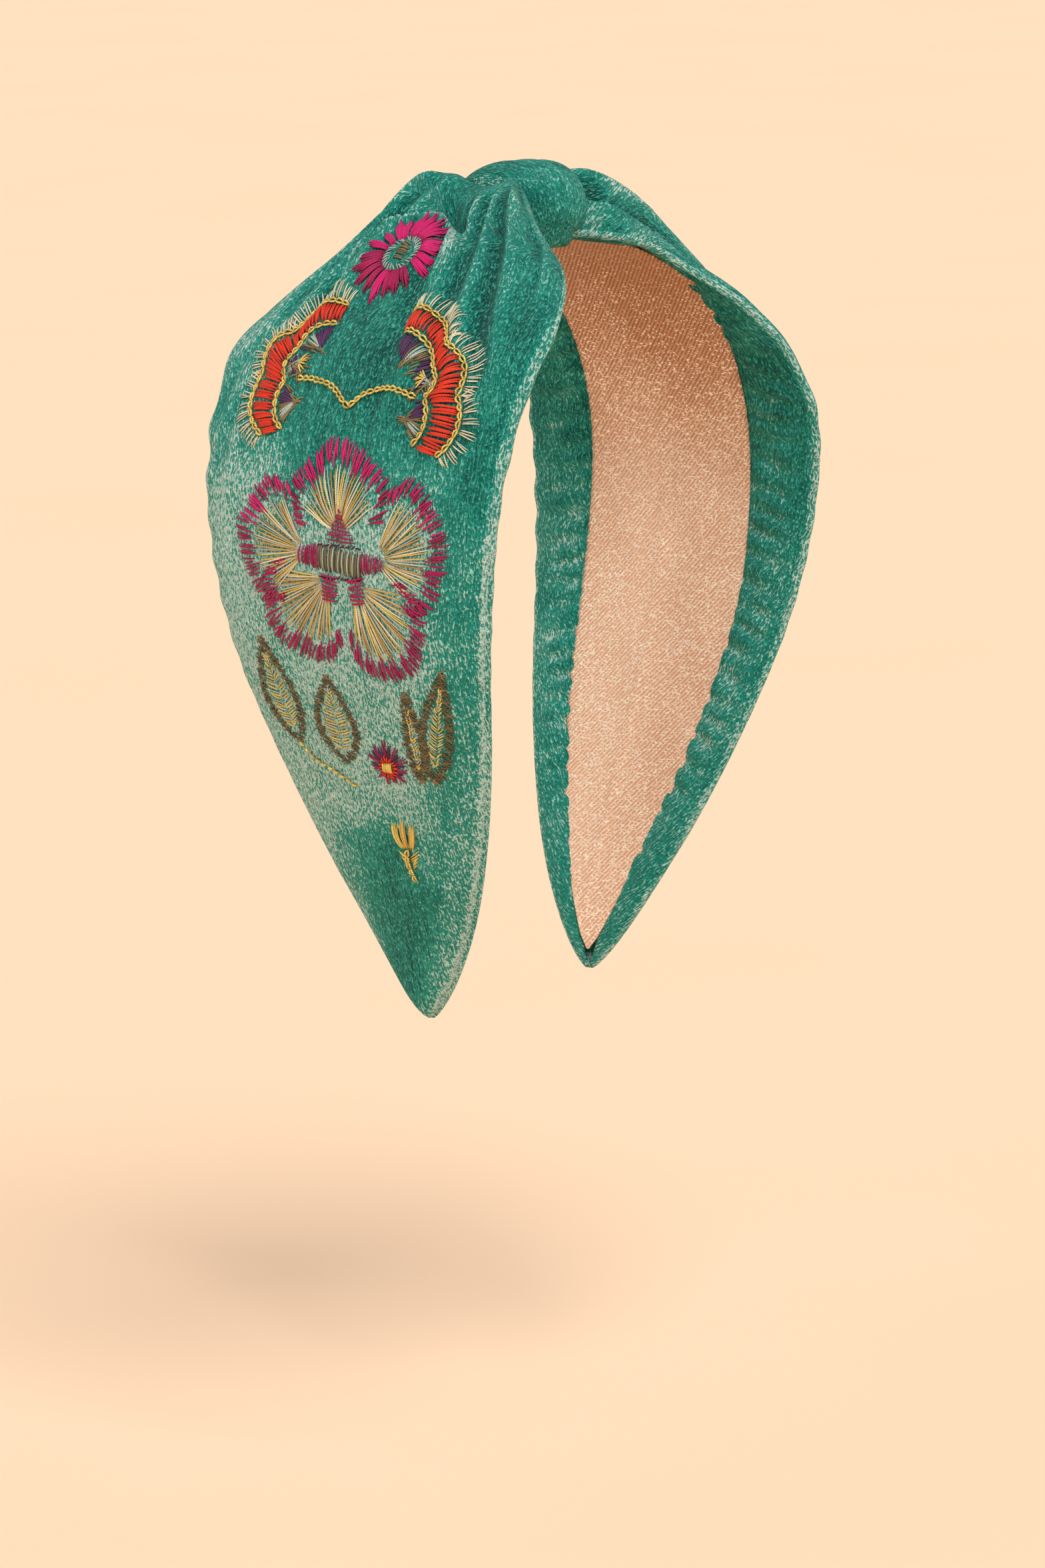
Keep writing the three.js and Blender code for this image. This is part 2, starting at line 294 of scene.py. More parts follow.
@dataclass(frozen=True)
class Arch:
    """The line of the band, seen from the front: a round crown, cheeks that turn in and flared tips."""

    crown_radius: float = 48.0
    cheek_radius: float = 100.0
    cheek_turn: float = math.radians(19.5)
    straight_run: float = 38.0
    tip_radius: float = 133.0
    tip_turn: float = math.radians(12.5)
    tip_sweep: float = 3.0
    tip_flare: float = math.radians(4.5)
    centre_drop: float = 46.5

    @property
    def crown_run(self) -> float:
        """The run of the quarter circle from the crown to the side of the head."""
        return self.crown_radius * math.pi / 2

    @property
    def arm_run(self) -> float:
        """The run from the crown to a tip."""
        cheek = self.cheek_radius * self.cheek_turn
        return self.crown_run + cheek + self.straight_run + self.tip_radius * self.tip_turn

    def spine(self, s: Array) -> tuple[Array, Array, Array]:
        """The lining's inner face at runs s of zero or more.

        Returns:
            Its x and z from the arc's centre, and its turn from level.
        """
        over = s - self.crown_run
        cheek_run = self.cheek_radius * self.cheek_turn
        cheek = np.clip(over, 0, cheek_run) / self.cheek_radius
        straight = np.clip(over - cheek_run, 0, self.straight_run)
        back = np.maximum(over - cheek_run - self.straight_run, 0) / self.tip_radius
        x = self.crown_radius - self.cheek_radius * (1 - np.cos(cheek)) - straight * np.sin(cheek)
        x = x - self.tip_radius * (np.cos(cheek - back) - np.cos(cheek))
        z = -self.cheek_radius * np.sin(cheek) - straight * np.cos(cheek)
        z = z - self.tip_radius * (np.sin(cheek) - np.sin(cheek - back))
        turn = np.minimum(s, self.crown_run) / self.crown_radius
        on_crown = s <= self.crown_run
        x = np.where(on_crown, self.crown_radius * np.sin(turn), x)
        z = np.where(on_crown, self.crown_radius * np.cos(turn), z)
        return x, z, np.where(on_crown, turn, math.pi / 2 + cheek - back)

    def place(self, side: Side, s: Array, v: Array, h: Array) -> Array:
        """Points in metres for places on the band.

        Args:
            side: The arm.
            s: Run from the crown; negative runs are on the other arm.
            v: Place across the band, positive to the back.
            h: Height out from the lining's inner face.

        Returns:
            An array with one more axis, of X, Y and Z.
        """
        s, v, h = np.broadcast_arrays(s, v, h)
        run = np.abs(s)
        x, z, turn = self.spine(run)
        share = (run / self.arm_run) ** 2
        flare = self.tip_flare * share
        out = h * np.cos(flare) - v * np.sin(flare)
        across = v * np.cos(flare) + h * np.sin(flare) + self.tip_sweep * share
        hand = side.value * np.where(s < 0, -1, 1)
        up = z + out * np.cos(turn) - self.centre_drop
        return np.stack([hand * (x + out * np.sin(turn)), across, up], axis=-1) * MM


ARCH = Arch()


# ---- meshes ----


def only(piece: bpy.types.Object) -> None:
    """Makes a piece the only selected and active object."""
    bpy.ops.object.select_all(action="DESELECT")
    piece.select_set(True)
    bpy.context.view_layer.objects.active = piece


def edit(piece: bpy.types.Object, *steps: Callable[[], object]) -> None:
    """Runs edit-mode steps on all of a piece."""
    only(piece)
    bpy.ops.object.mode_set(mode="EDIT")
    bpy.ops.mesh.select_all(action="SELECT")
    for step in steps:
        step()
    bpy.ops.object.mode_set(mode="OBJECT")


def finish_with(piece: bpy.types.Object, kind: str, **settings: object) -> None:
    """Adds a modifier to a piece and applies it."""
    only(piece)
    modifier = piece.modifiers.new(kind.title(), kind)
    for name, value in settings.items():
        setattr(modifier, name, value)
    bpy.ops.object.modifier_apply(modifier=modifier.name)


def write_attribute(mesh: bpy.types.Mesh, name: str, values: Array) -> None:
    """Stores a number or a colour for each vertex."""
    if values.ndim == 1:
        made = mesh.attributes.new(name, "FLOAT", "POINT")
        made.data.foreach_set("value", values.astype(np.float32))
        return
    made = mesh.attributes.new(name, "FLOAT_COLOR", "POINT")
    rgba = np.ones((len(values), 4), np.float32)
    rgba[:, :3] = values
    made.data.foreach_set("color", rgba.ravel())


def write_uv(mesh: bpy.types.Mesh, uv: Array) -> None:
    """Gives each corner the UV of its vertex, as the mesh's only map."""
    while mesh.uv_layers:
        mesh.uv_layers.remove(mesh.uv_layers[0])
    corners = np.empty(len(mesh.loops), np.int32)
    mesh.loops.foreach_get("vertex_index", corners)
    mesh.uv_layers.new(name="cloth").data.foreach_set("uv", uv[corners].astype(np.float32).ravel())


@dataclass
class Weave:
    """A grid of points that becomes a piece of cloth or a closed pad."""

    name: str
    points: Array
    uv: Array
    marks: dict[str, Array] = field(default_factory=dict)

    def cut(self, outward: Array) -> bpy.types.Object:
        """Shapes a grid primitive to the points.

        Args:
            outward: A vector that the middle of the cloth faces.

        Returns:
            The open piece, its faces on the outward side.
        """
        rows, columns = self.points.shape[:2]
        bpy.ops.object.select_all(action="DESELECT")
        bpy.ops.mesh.primitive_grid_add(x_subdivisions=columns - 1, y_subdivisions=rows - 1, size=1)
        piece = bpy.context.active_object
        piece.name = self.name
        mesh = piece.data
        mesh.name = self.name
        mesh.vertices.foreach_set("co", self.points.astype(np.float32).reshape(-1))
        mesh.update()
        write_uv(mesh, self.uv.reshape(-1, 2))
        for name, values in self.marks.items():
            write_attribute(mesh, name, values.reshape(-1))
        middle = mesh.polygons[(rows // 2) * (columns - 1) + columns // 2]
        if np.dot(np.array(middle.normal), outward) < 0:
            edit(piece, bpy.ops.mesh.flip_normals)
        return piece


def smooth_faces(piece: bpy.types.Object) -> None:
    """Shades a piece smooth."""
    piece.data.polygons.foreach_set("use_smooth", np.ones(len(piece.data.polygons), bool))
    piece.data.update()


def close_seams(piece: bpy.types.Object) -> None:
    """Joins the points where a rolled-up weave meets itself, and faces it outward."""
    edit(
        piece,
        lambda: bpy.ops.mesh.remove_doubles(threshold=JOINED),
        lambda: bpy.ops.mesh.normals_make_consistent(inside=False),
    )
    smooth_faces(piece)


def thicken(piece: bpy.types.Object, thickness: float) -> None:
    """Gives an open cloth its thickness in millimetres, on the side away from its faces."""
    finish_with(piece, "SOLIDIFY", thickness=thickness * MM, offset=-1.0)
    smooth_faces(piece)


# ---- materials ----


class Value:
    """A node output that takes part in Python arithmetic by adding Math nodes."""

    def __init__(self, recipe: "Recipe", socket: bpy.types.NodeSocket) -> None:
        """Wraps an output socket of one of the recipe's nodes."""
        self.recipe = recipe
        self.socket = socket

    def maths(self, operation: str, *others: "Value | float") -> "Value":
        """Applies a Math operation to this value and the others."""
        inputs = dict(enumerate((self, *others)))
        return self.recipe.node("ShaderNodeMath", {"operation": operation}, inputs)

    def __add__(self, other: "Value | float") -> "Value":
        """Adds."""
        return self.maths("ADD", other)

    def __sub__(self, other: "Value | float") -> "Value":
        """Subtracts the other."""
        return self.maths("SUBTRACT", other)

    def __rsub__(self, other: float) -> "Value":
        """Subtracts this from a number."""
        return self * -1 + other

    def __mul__(self, other: "Value | float") -> "Value":
        """Multiplies."""
        return self.maths("MULTIPLY", other)

    __radd__ = __add__
    __rmul__ = __mul__

    def clamp(self) -> "Value":
        """Keeps the value from 0 to 1."""
        return self.maths("MAXIMUM", 0.0).maths("MINIMUM", 1.0)

    def step(self, low: float, high: float) -> "Value":
        """A smooth step from 0 at low to 1 at high."""
        settings = {"interpolation_type": "SMOOTHSTEP"}
        return self.recipe.node("ShaderNodeMapRange", settings, {"Value": self, 1: low, 2: high})


class Recipe:
    """A material under construction: its nodes, and the shader that ends it."""

    def __init__(self, name: str) -> None:
        """Starts a material with only its output and a Principled shader."""
        self.material = bpy.data.materials.new(name)
        self.material.use_nodes = True
        self.tree = self.material.node_tree
        self.tree.nodes.clear()
        self.shader = self.tree.nodes.new("ShaderNodeBsdfPrincipled")
        output = self.tree.nodes.new("ShaderNodeOutputMaterial")
        self.tree.links.new(self.shader.outputs[0], output.inputs[0])

    def node(
        self,
        kind: str,
        settings: dict[str, object] | None = None,
        sockets: dict[int | str, object] | None = None,
        out: int | str = 0,
    ) -> Value:
        """Adds a node.

        Args:
            kind: The node's type.
            settings: Its properties.
            sockets: Values or links of its inputs, by name or number.
            out: The output to return.

        Returns:
            That output.
        """
        made = self.tree.nodes.new(kind)
        for name, value in (settings or {}).items():
            setattr(made, name, value)
        for name, value in (sockets or {}).items():
            self.feed(made.inputs[name], value)
        return Value(self, made.outputs[out])

    def feed(self, socket: bpy.types.NodeSocket, value: object) -> None:
        """Links a value to a socket, or sets the number or colour that it holds."""
        if isinstance(value, Value):
            self.tree.links.new(value.socket, socket)
        elif isinstance(value, tuple) and len(value) == 3 and socket.type == "RGBA":
            socket.default_value = (*value, 1)
        else:
            socket.default_value = value

    def attribute(self, name: str, out: str = "Fac") -> Value:
        """A vertex attribute of the piece."""
        return self.node("ShaderNodeAttribute", {"attribute_name": name}, out=out)

    def cloth(self, stretch: tuple[float, float, float] = (1, 1, 1), turn: float = 0.0) -> Value:
        """The piece's UV map, in hundreds of millimetres, scaled and turned."""
        uv = self.node("ShaderNodeUVMap", {"uv_map": "cloth"})
        sockets = {"Vector": uv, "Rotation": (0, 0, turn), "Scale": stretch}
        return self.node("ShaderNodeMapping", None, sockets)

    def noise(self, where: Value, scale: float, detail: float = 2.0, rough: float = 0.5) -> Value:
        """A noise value from about 0 to 1."""
        sockets = {"Vector": where, "Scale": scale, "Detail": detail, "Roughness": rough}
        return self.node("ShaderNodeTexNoise", None, sockets)

    def place(self) -> Value:
        """Object coordinates, in metres."""
        return self.node("ShaderNodeTexCoord", out="Object")

    def mix(self, share: Value | float, a: object, b: object) -> Value:
        """A colour between a and b."""
        settings = {"data_type": "RGBA"}
        return self.node("ShaderNodeMix", settings, {0: share, 6: a, 7: b}, out=2)

    def dress(self, **sockets: object) -> bpy.types.Material:
        """Sets the shader's sockets, words joined by underscores, and returns the material."""
        for name, value in sockets.items():
            self.feed(self.shader.inputs[name.replace("_", " ").title().replace("Ior", "IOR")], value)
        return self.material

    def bump(self, height: Value, depth: float, strength: float = 1.0) -> Value:
        """A normal from a height field that is depth metres deep."""
        sockets = {"Height": height, "Distance": depth, "Strength": strength}
        return self.node("ShaderNodeBump", None, sockets, out="Normal")


@dataclass(frozen=True)
class VelvetFinish:
    """Crushed velvet: a deep teal pile that shows silver where it lies over, partly the pile's real lie
    and partly painted sheen, with painted highlights and shade from the cloth's shape.
    """

    name: str = "crushed_velvet"
    deep: Colour = (0.0, 0.07, 0.058)
    body: Colour = (0.0, 0.275, 0.21)
    light: Colour = (0.10, 0.48, 0.39)
    # The silver of the pile: partly its real lie and partly painted sheen.
    silver: Colour = (0.48, 0.70, 0.63)
    sheen: float = 0.14
    sheen_colour: Colour = (0.62, 1.0, 0.9)
    pile_depth: float = 0.0005

    def make(self) -> bpy.types.Material:
        """Builds the material."""
        r = Recipe(self.name)
        where = r.place()
        lay = r.noise(where, 95, 4, 0.6)
        streaks = r.noise(r.cloth((150, 12, 1)), 1.0, 3, 0.6)
        grain = r.noise(r.cloth((300, 90, 1), math.radians(20)), 1.0, 1, 0.5).step(0.38, 0.62)
        pile = r.noise(where, 1900, 1, 0.5).step(0.38, 0.62)
        fine = grain * 0.6 + pile * 0.4
        # The silver share read here: the pile's lie with painted sheen, painted highlights on ridges, rims
        # and the lip, and painted shade in fold valleys.
        nap_and_painted_light = r.attribute("nap_and_painted_light")
        over = (nap_and_painted_light + (lay - 0.5) * 0.8 + (streaks - 0.5) * 0.9).clamp()
        # Silver flecks of crushed pile, partly real and partly painted sheen.
        fleck = (fine + over * 0.95 - 0.98).step(0.0, 0.42)
        shine = (fine * 1.1 + streaks * 0.8 + lay * 0.6 - 1.15).step(0.05, 0.75)
        depth = (lay * 0.5 + streaks * 0.7 + fine * 0.34 + nap_and_painted_light * 0.5).step(0.47, 1.06)
        ground = r.mix(shine * 0.6 + over * 0.2, r.mix(depth, self.deep, self.body), self.light)
        return r.dress(
            base_color=r.mix(fleck, ground, r.mix(over.step(0.1, 0.75), self.light, self.silver)),
            roughness=0.8 - over * 0.2,
            specular_ior_level=0.18,
            sheen_weight=self.sheen,
            sheen_roughness=0.25,
            sheen_tint=self.sheen_colour,
            normal=r.bump(fine + streaks * 0.8, self.pile_depth),
        )


@dataclass(frozen=True)
class LurexFinish:
    """Ribbed ribbon with metal thread: rose gold, with painted shade at the crown and in the rib grooves,
    and small sparkles painted bright as glints.
    """

    name: str = "rose_gold_lurex"
    # The colour of the painted shade in the rib grooves.
    line: Colour = (0.22, 0.085, 0.03)
    shade: Colour = (0.56, 0.24, 0.105)
    body: Colour = (0.88, 0.58, 0.41)
    # The sparkles' pale colour: partly the metal thread's, partly a painted glint.
    spark: Colour = (1.0, 0.86, 0.70)
    ribs: float = 43.0
    rib_turn: float = math.radians(-51)
    sparkles: float = 460.0

    def make(self) -> bpy.types.Material:
        """Builds the material."""
        r = Recipe(self.name)
        wave = {"Vector": r.cloth(turn=self.rib_turn), "Scale": self.ribs}
        wave.update({"Distortion": 1.1, "Detail": 2.0, "Detail Scale": 1.4})
        ribs = r.node("ShaderNodeTexWave", {"bands_direction": "Y"}, wave, out="Fac")
        dots = {"Vector": r.cloth((0.6, 1, 1), self.rib_turn), "Scale": self.sparkles}
        cells = r.node("ShaderNodeTexVoronoi", None, dots, out="Color")
        glint = r.node("ShaderNodeSeparateColor", None, {"Color": cells}, out=0)
        tilt = r.node("ShaderNodeSeparateColor", None, {"Color": cells}, out=1)
        patch_tone = r.noise(r.place(), 60, 4, 0.6)
        light = r.attribute("nap_and_painted_light")
        # Painted light and shade along the ribbon, made patchy by noise.
        lit = (light + (patch_tone - 0.5) * 0.5 + (tilt - 0.5) * 0.2).step(0.0, 1.0)
        # Dark lines in the rib grooves: painted shade, fainter where the painted light is stronger.
        groove_shade = (1.0 - ribs).step(0.4, 0.8) * (tilt * 0.5 + 0.6) * (1.0 - light * 0.6)
        ground = r.mix(groove_shade.clamp(), r.mix(lit, self.shade, self.body), self.line)
        # Sparkles: metal thread cells with a painted glint, more of them where the painted light is
        # stronger.
        sparkle = (glint + light * 0.22 + (patch_tone - 0.5) * 0.12).step(0.92, 0.99)
        return r.dress(
            base_color=r.mix(sparkle, ground, self.spark),
            metallic=0.1 + sparkle * 0.5,
            roughness=0.5 - sparkle * 0.2,
            specular_ior_level=0.5,
            normal=r.bump(ribs * 0.4 + tilt * 0.25 * light + tilt * 0.1, 0.0003, 0.8),
        )


@dataclass(frozen=True)
class ThreadFinish:
    """Embroidery thread: two plies twisted together, in the colour that each stitch holds."""

    name: str
    roughness: float = 0.38
    twist: float = 95.0
    twist_turn: float = math.radians(24)
    shadow: Colour = (0.0, 0.0, 0.0)

    def make(self) -> bpy.types.Material:
        """Builds the material."""
        r = Recipe(self.name)
        where = r.cloth((1, 0.02, 1), self.twist_turn)
        wave = {"Vector": where, "Scale": self.twist, "Distortion": 0.6}
        plies = r.node("ShaderNodeTexWave", None, wave, out="Fac")
        tint = r.attribute("floss", "Color")
        fibre = r.noise(r.place(), 5200, 2, 0.6)
        dark = r.mix(0.6, tint, self.shadow)
        return r.dress(
            base_color=r.mix((plies * 0.75 + fibre * 0.55).step(0.1, 0.75), dark, tint),
            metallic=r.attribute("metal"),
            roughness=self.roughness,
            specular_ior_level=0.4,
            normal=r.bump(plies * 0.7 + fibre * 0.3, 0.00012, 0.8),
        )


@dataclass(frozen=True)
class StripFinish:
    """The moulded strip inside: matte plastic with a faint drawn grain."""

    name: str = "moulded_strip"
    colour: Colour = (0.80, 0.76, 0.66)
    patch_tone: Colour = (0.66, 0.62, 0.53)

    def make(self) -> bpy.types.Material:
        """Builds the material."""
        r = Recipe(self.name)
        grain = r.noise(r.place(), 900, 3, 0.6)
        tone = r.mix(grain, self.colour, self.patch_tone)
        return r.dress(base_color=tone, roughness=0.4 + grain * 0.25, normal=r.bump(grain, 0.00008))


@dataclass(frozen=True)
class FoamFinish:
    """Open-cell foam: pale, matte and pitted, with painted shade in its pits."""

    name: str = "open_cell_foam"
    colour: Colour = (0.86, 0.82, 0.70)
    # The painted shade in the pits.
    pore_shade: Colour = (0.60, 0.55, 0.42)
    cells: float = 1400.0

    def make(self) -> bpy.types.Material:
        """Builds the material."""
        r = Recipe(self.name)
        sockets = {"Vector": r.place(), "Scale": self.cells}
        cells = r.node("ShaderNodeTexVoronoi", None, sockets, out="Distance")
        tone = r.mix(cells.step(0.0, 0.5), self.pore_shade, self.colour)
        return r.dress(base_color=tone, roughness=0.95, normal=r.bump(cells, 0.0003))


@dataclass(frozen=True)
class FloorFinish:
    """A plain pale floor with a barely visible mottle."""

    name: str = "pale_floor"
    colour: Colour = (0.98, 0.71, 0.51)
    mottle: Colour = (0.97, 0.70, 0.50)

    def make(self) -> bpy.types.Material:
        """Builds the material."""
        r = Recipe(self.name)
        patches = r.noise(r.place(), 6).step(0.3, 0.7)
        tone = r.mix(patches, self.colour, self.mottle)
        return r.dress(base_color=tone, roughness=0.9, specular_ior_level=0.1)


# ---- the band's soft parts ----


@dataclass(frozen=True)
class Leaf:
    """The layers and widths that every part of an arm is worked out from."""

    panel_half: float = 35.0
    leaf_length: float = 130.0
    leaf_power: float = 0.76
    cloth: float = 0.8
    cover_rise: float = 4.7
    neck_rise: float = 3.4
    neck_length: float = 42.0
    margin_height: float = 1.1
    edge_height: float = 2.6
    lining_half: float = 19.0
    lining_length: float = 82.0
    lining_start: float = 3.0
    lining_lap: float = 3.0
    through_half: float = 7.6
    through_run: float = 8.5
    through_splay: float = 1.5
    dome_power: float = 2.4
    tip_round: float = 7.0
    tip_height: float = 1.9
    tip_taper: float = 30.0
    tip_rise_share: float = 0.45

    def outline(self, s: Array) -> Array:
        """The leaf's half width at each run, full towards the crown."""
        share = np.clip((ARCH.arm_run - s) / self.leaf_length, 0, 1)
        return self.panel_half * np.sin(math.pi / 2 * share**self.leaf_power)

    def rise(self, s: Array) -> Array:
        """How far the cover's middle stands above its rolled edge."""
        from_tip = np.clip((ARCH.arm_run - s) / self.tip_taper, 0, 1)
        taper = self.tip_rise_share + (1 - self.tip_rise_share) * from_tip
        neck = np.maximum(1 - np.maximum(s, 0) / self.neck_length, 0) ** 2
        return self.cover_rise * taper + self.neck_rise * neck

    def dome(self, share: Array) -> Array:
        """The cover's crowning: 1 in its middle, falling to 0 where share is 1 at an edge."""
        return np.sqrt(1 - share**self.dome_power)

    def drawn_in(self, s: Array, h: Array) -> Array:
        """The heights, drawn together in a round end at the tip."""
        share = np.clip((ARCH.arm_run - s) / self.tip_round, 0, 1)
        return self.tip_height + (h - self.tip_height) * np.sqrt(1 - (1 - share) ** 2)

    def lining_edge(self, s: Array) -> Array:
        """Half of the lining's width, narrowed where the loop holds it."""
        from_tip = np.maximum(ARCH.arm_run - s - self.lining_start, 0)
        leaf = np.sin(math.pi / 2 * np.minimum(from_tip / self.lining_length, 1) ** 0.88)
        narrow = self.through_half + self.through_splay * np.maximum(s - self.through_run, 0)
        inside = self.outline(s) - self.lining_lap - self.cloth
        return np.maximum(np.minimum(np.minimum(self.lining_half * leaf, inside), narrow), 0.2)


LEAF = Leaf()
POUCH = Pouch()


@dataclass
class Panel:
    """One arm's velvet cover: a domed face, rolled edges and puckered margins turned in."""

    side: Side
    front: Edge
    back: Edge
    folds: tuple[Fold, ...]
    bunches: tuple[Gather | Pouch, ...]
    # How silvery the pile is: its lie and painted sheen, with painted highlights.
    silver: Callable[[Array, Array], Array]
    first: float = -1.5
    end_gap: float = 0.15
    loop_edge: float = 6.0
    tuck_height: float = 4.4
    dome_wrap: float = 0.93
    row_power: float = 0.97
    fold_light_and_shade: float = 0.3
    rolled_edge_highlight: float = 0.7
    puff_depth: float = 1.25
    pucker_depth: float = 0.42
    hem_floor: float = 0.9
    rows: int = 250
    dome_columns: int = 112
    margin_columns: int = 16
    edge_columns: int = 5

    def edges(self, s: Array) -> tuple[Array, Array]:
        """The front and back edges' v at each run, with the small bumps of the rolled seam."""
        leaf = LEAF.outline(s)
        cheek = 0.5 * np.sin(s * 0.55) * bell(s - 56, 16)
        below = 0.3 * np.sin(s * 0.83 + 1) * bell(s - 80, 30)
        bumps = cheek + below
        return self.front.at(s, leaf) - 0.4 * bumps, self.back.at(s, leaf) + bumps

    @staticmethod
    def lifted(parts: Sequence[Fold | Gather | Pouch], s: Array, v: Array) -> Array:
        """How far folds or bunches lift the cloth, all together."""
        return sum((part.at(s, v) for part in parts), np.zeros(np.shape(v)))

    def height(self, s: Array, v: Array) -> Array:
        """The velvet's outer height at each s, v, folds and bunches included."""
        front, back = self.edges(s)
        middle, half = (front + back) / 2, (back - front) / 2
        share = np.clip(np.abs(v - middle) / half, 0, 1)
        dome = LEAF.dome(share)
        held_down = np.minimum(1, 3.2 * (1 - share)) ** 0.8
        lift = self.lifted((*self.folds, *self.bunches), s, v) * held_down
        free = LEAF.edge_height + LEAF.rise(s) * dome + lift
        tucked = self.tuck_height * np.sqrt(dome)
        out = smooth(self.loop_edge - 6.5, self.loop_edge - 1.0, s)
        return LEAF.drawn_in(s, tucked + (free - tucked) * out)

    def on(self, s: Array, v: Array, lift: Array) -> Array:
        """Points in metres that stand lift above the velvet."""
        return ARCH.place(self.side, s, v, self.height(s, v) + lift)

    def build(self) -> bpy.types.Object:
        """Makes the cover from margin to margin, a layer of cloth thick."""
        far = np.linspace(0, 1, self.rows) ** self.row_power
        run = self.first + far * (ARCH.arm_run - self.end_gap - self.first)
        wrap = self.dome_wrap * math.pi / 2
        across = np.sin(np.linspace(-wrap, wrap, self.dome_columns)) / math.sin(wrap)
        s = np.repeat(run[:, None], self.dome_columns, axis=1)
        front, back = self.edges(s)
        v = (front + back) / 2 + across[None, :] * (back - front) / 2
        # Fold ridges painted lighter and fold valleys painted darker, on top of the panel's silver share.
        nap_and_painted_light = self.silver(s, v) + self.fold_light_and_shade * np.clip(self.lifted(self.folds, s, v), -2.5, 1)
        dome = (s, v, self.height(s, v), nap_and_painted_light)
        before, behind = (self.hem(sign, run) for sign in (-1, 1))
        s, v, h, nap_and_painted_light = (np.hstack([a[:, ::-1], b, c]) for a, b, c in zip(before, dome, behind))
        points = ARCH.place(self.side, s, v, h)
        steps = np.linalg.norm(np.diff(points, axis=1, prepend=points[:, :1]), axis=2)
        arc = np.cumsum(steps, axis=1)
        middle = arc[:, [arc.shape[1] // 2]]
        uv = np.stack([(arc - middle) * UV_PER_METRE, s * UV_PER_MM], axis=-1)
        weave = Weave(f"{self.side.word}_velvet_cover", points, uv, {"nap_and_painted_light": nap_and_painted_light})
        piece = weave.cut(np.array([self.side.value, 0, 0]))
        thicken(piece, LEAF.cloth)
        return piece

    def hem(self, sign: int, s: Array) -> tuple[Array, Array, Array, Array]:
        """The rolled edge and the margin turned in behind it, on one side.

        Args:
            sign: -1 for the front edge and 1 for the back one.
            s: The runs of the cover's rows at that edge.

        Returns:
            s, v, h and the silver share with its painted light, each a column per step from the edge to
            the margin's end.
        """
        front, back = self.edges(s)
        edge = (back if sign > 0 else front)[:, None]
        s = s[:, None]
        turn = np.linspace(0.12, 1, self.edge_columns)[None, :] * math.pi
        radius = (LEAF.edge_height - LEAF.margin_height) / 2
        roll_v = edge + sign * radius * np.sin(turn) * 0.8
        roll_h = LEAF.margin_height + radius * (1 + np.cos(turn)) + 0 * s
        inner = np.maximum(LEAF.lining_edge(s) - LEAF.lining_lap, 0.3 * np.abs(edge))
        inner = np.minimum(inner, np.abs(edge) - 0.1)
        share = np.linspace(0.06, 1, self.margin_columns)[None, :]
        flat_v = edge + (sign * inner - edge) * share
        width = np.abs(edge) - inner
        puff = np.sin(math.pi * share**0.8) * np.minimum(width / 14, 1)
        wander = 0.9 * np.sin(s * 0.31 + sign) + 5 * share
        pucker = np.sin(s * 1.35 + wander) + 0.6 * np.sin(s * 0.77 + 2.2 * wander + 2)
        pucker *= self.pucker_depth * smooth(0.05, 0.45, share)
        pucker *= smooth(14, 40, s) * (1 - smooth(120, 165, s))
        flat_h = LEAF.margin_height - self.puff_depth * puff + pucker * np.minimum(width / 10, 1)
        flat_h = np.where(share > 0.8, np.maximum(flat_h, self.hem_floor), flat_h)
        # The margins' silver share: more towards the tip and where the margin dips, with pucker crests
        # painted lighter and pucker troughs painted darker.
        margin_nap_and_light = 0.02 + 0.32 * smooth(50, 110, s) + 0.12 * puff + 0.34 * pucker
        v = np.hstack([roll_v, flat_v])
        h = LEAF.drawn_in(s, np.hstack([roll_h, flat_h]))
        # The rolled edges are painted as a silver highlight.
        nap_and_painted_light = np.hstack([np.full(roll_v.shape, self.rolled_edge_highlight), margin_nap_and_light])
        return np.broadcast_to(s, v.shape), v, h, nap_and_painted_light


def left_silver(s: Array, v: Array) -> Array:
    """How silvery the left panel is: over its back and lower parts, partly the pile's lie and partly
    painted sheen, with painted highlights on its lip, its edges and along its lower front edge.
    """
    leaf = LEAF.outline(s)
    low = smooth(58, 80, s + 0.15 * np.abs(v)) * smooth(-8, 9, v + 0.85 * leaf - 3)
    tip = 1 - smooth(127, 138, s) * bell(v, 9.5)
    back = 0.5 * smooth(6, 26, v) * smooth(14, 44, s) * (1 - low)
    neck = 0.16 * (1 - smooth(18, 34, s))
    # Painted rim highlight along both edges.
    edge = 0.6 * smooth(-1.3, 0, np.abs(v) - leaf)
    # Painted highlight in a band along the lower front edge.
    front_edge_highlight = 0.42 * smooth(-8, -2, -v - leaf) * smooth(66, 84, s)
    return 0.04 + 0.82 * low * tip + back + neck + POUCH.nap_and_painted_light(s, v) + edge + front_edge_highlight


def right_silver(s: Array, v: Array) -> Array:
    """How silvery the right panel is: plain, more silver towards the tip on its back half, partly the
    pile's lie and partly painted sheen, with a painted highlight along its edges and stripes of painted
    light and shade across the rolls near the crown.
    """
    # Painted rim highlight along both edges.
    edge = 0.55 * smooth(-1.6, 0, np.abs(v) - LEAF.outline(s))
    # Stripes of painted light and shade across the rolls near the crown.
    rolls = 0.2 * np.sin(v * 0.9 - s * 0.12) * (1 - smooth(30, 60, s))
    return 0.3 + edge + rolls + 0.45 * smooth(70, 120, s) * smooth(-15, 15, v)


def fanned(
    rays: Sequence[tuple[float, float, float]],
    runs: tuple[float, float, float],
    sag: float,
    width: Point,
    fade: float,
) -> list[Fold]:
    """Folds that fan out from the neck.

    Args:
        rays: Where each fold starts and ends across the band, and its height.
        runs: The runs of their start, middle and end.
        sag: How far their middles lie aside from straight lines.
        width: Their width at the start and at the end.
        fade: How gradually they end.

    Returns:
        The folds.
    """
    start, middle, end = runs
    return [
        Fold(((start, first), (middle, (first + last) / 2 + sag), (end, last)), height, *width, fade=fade)
        for first, last, height in rays
    ]


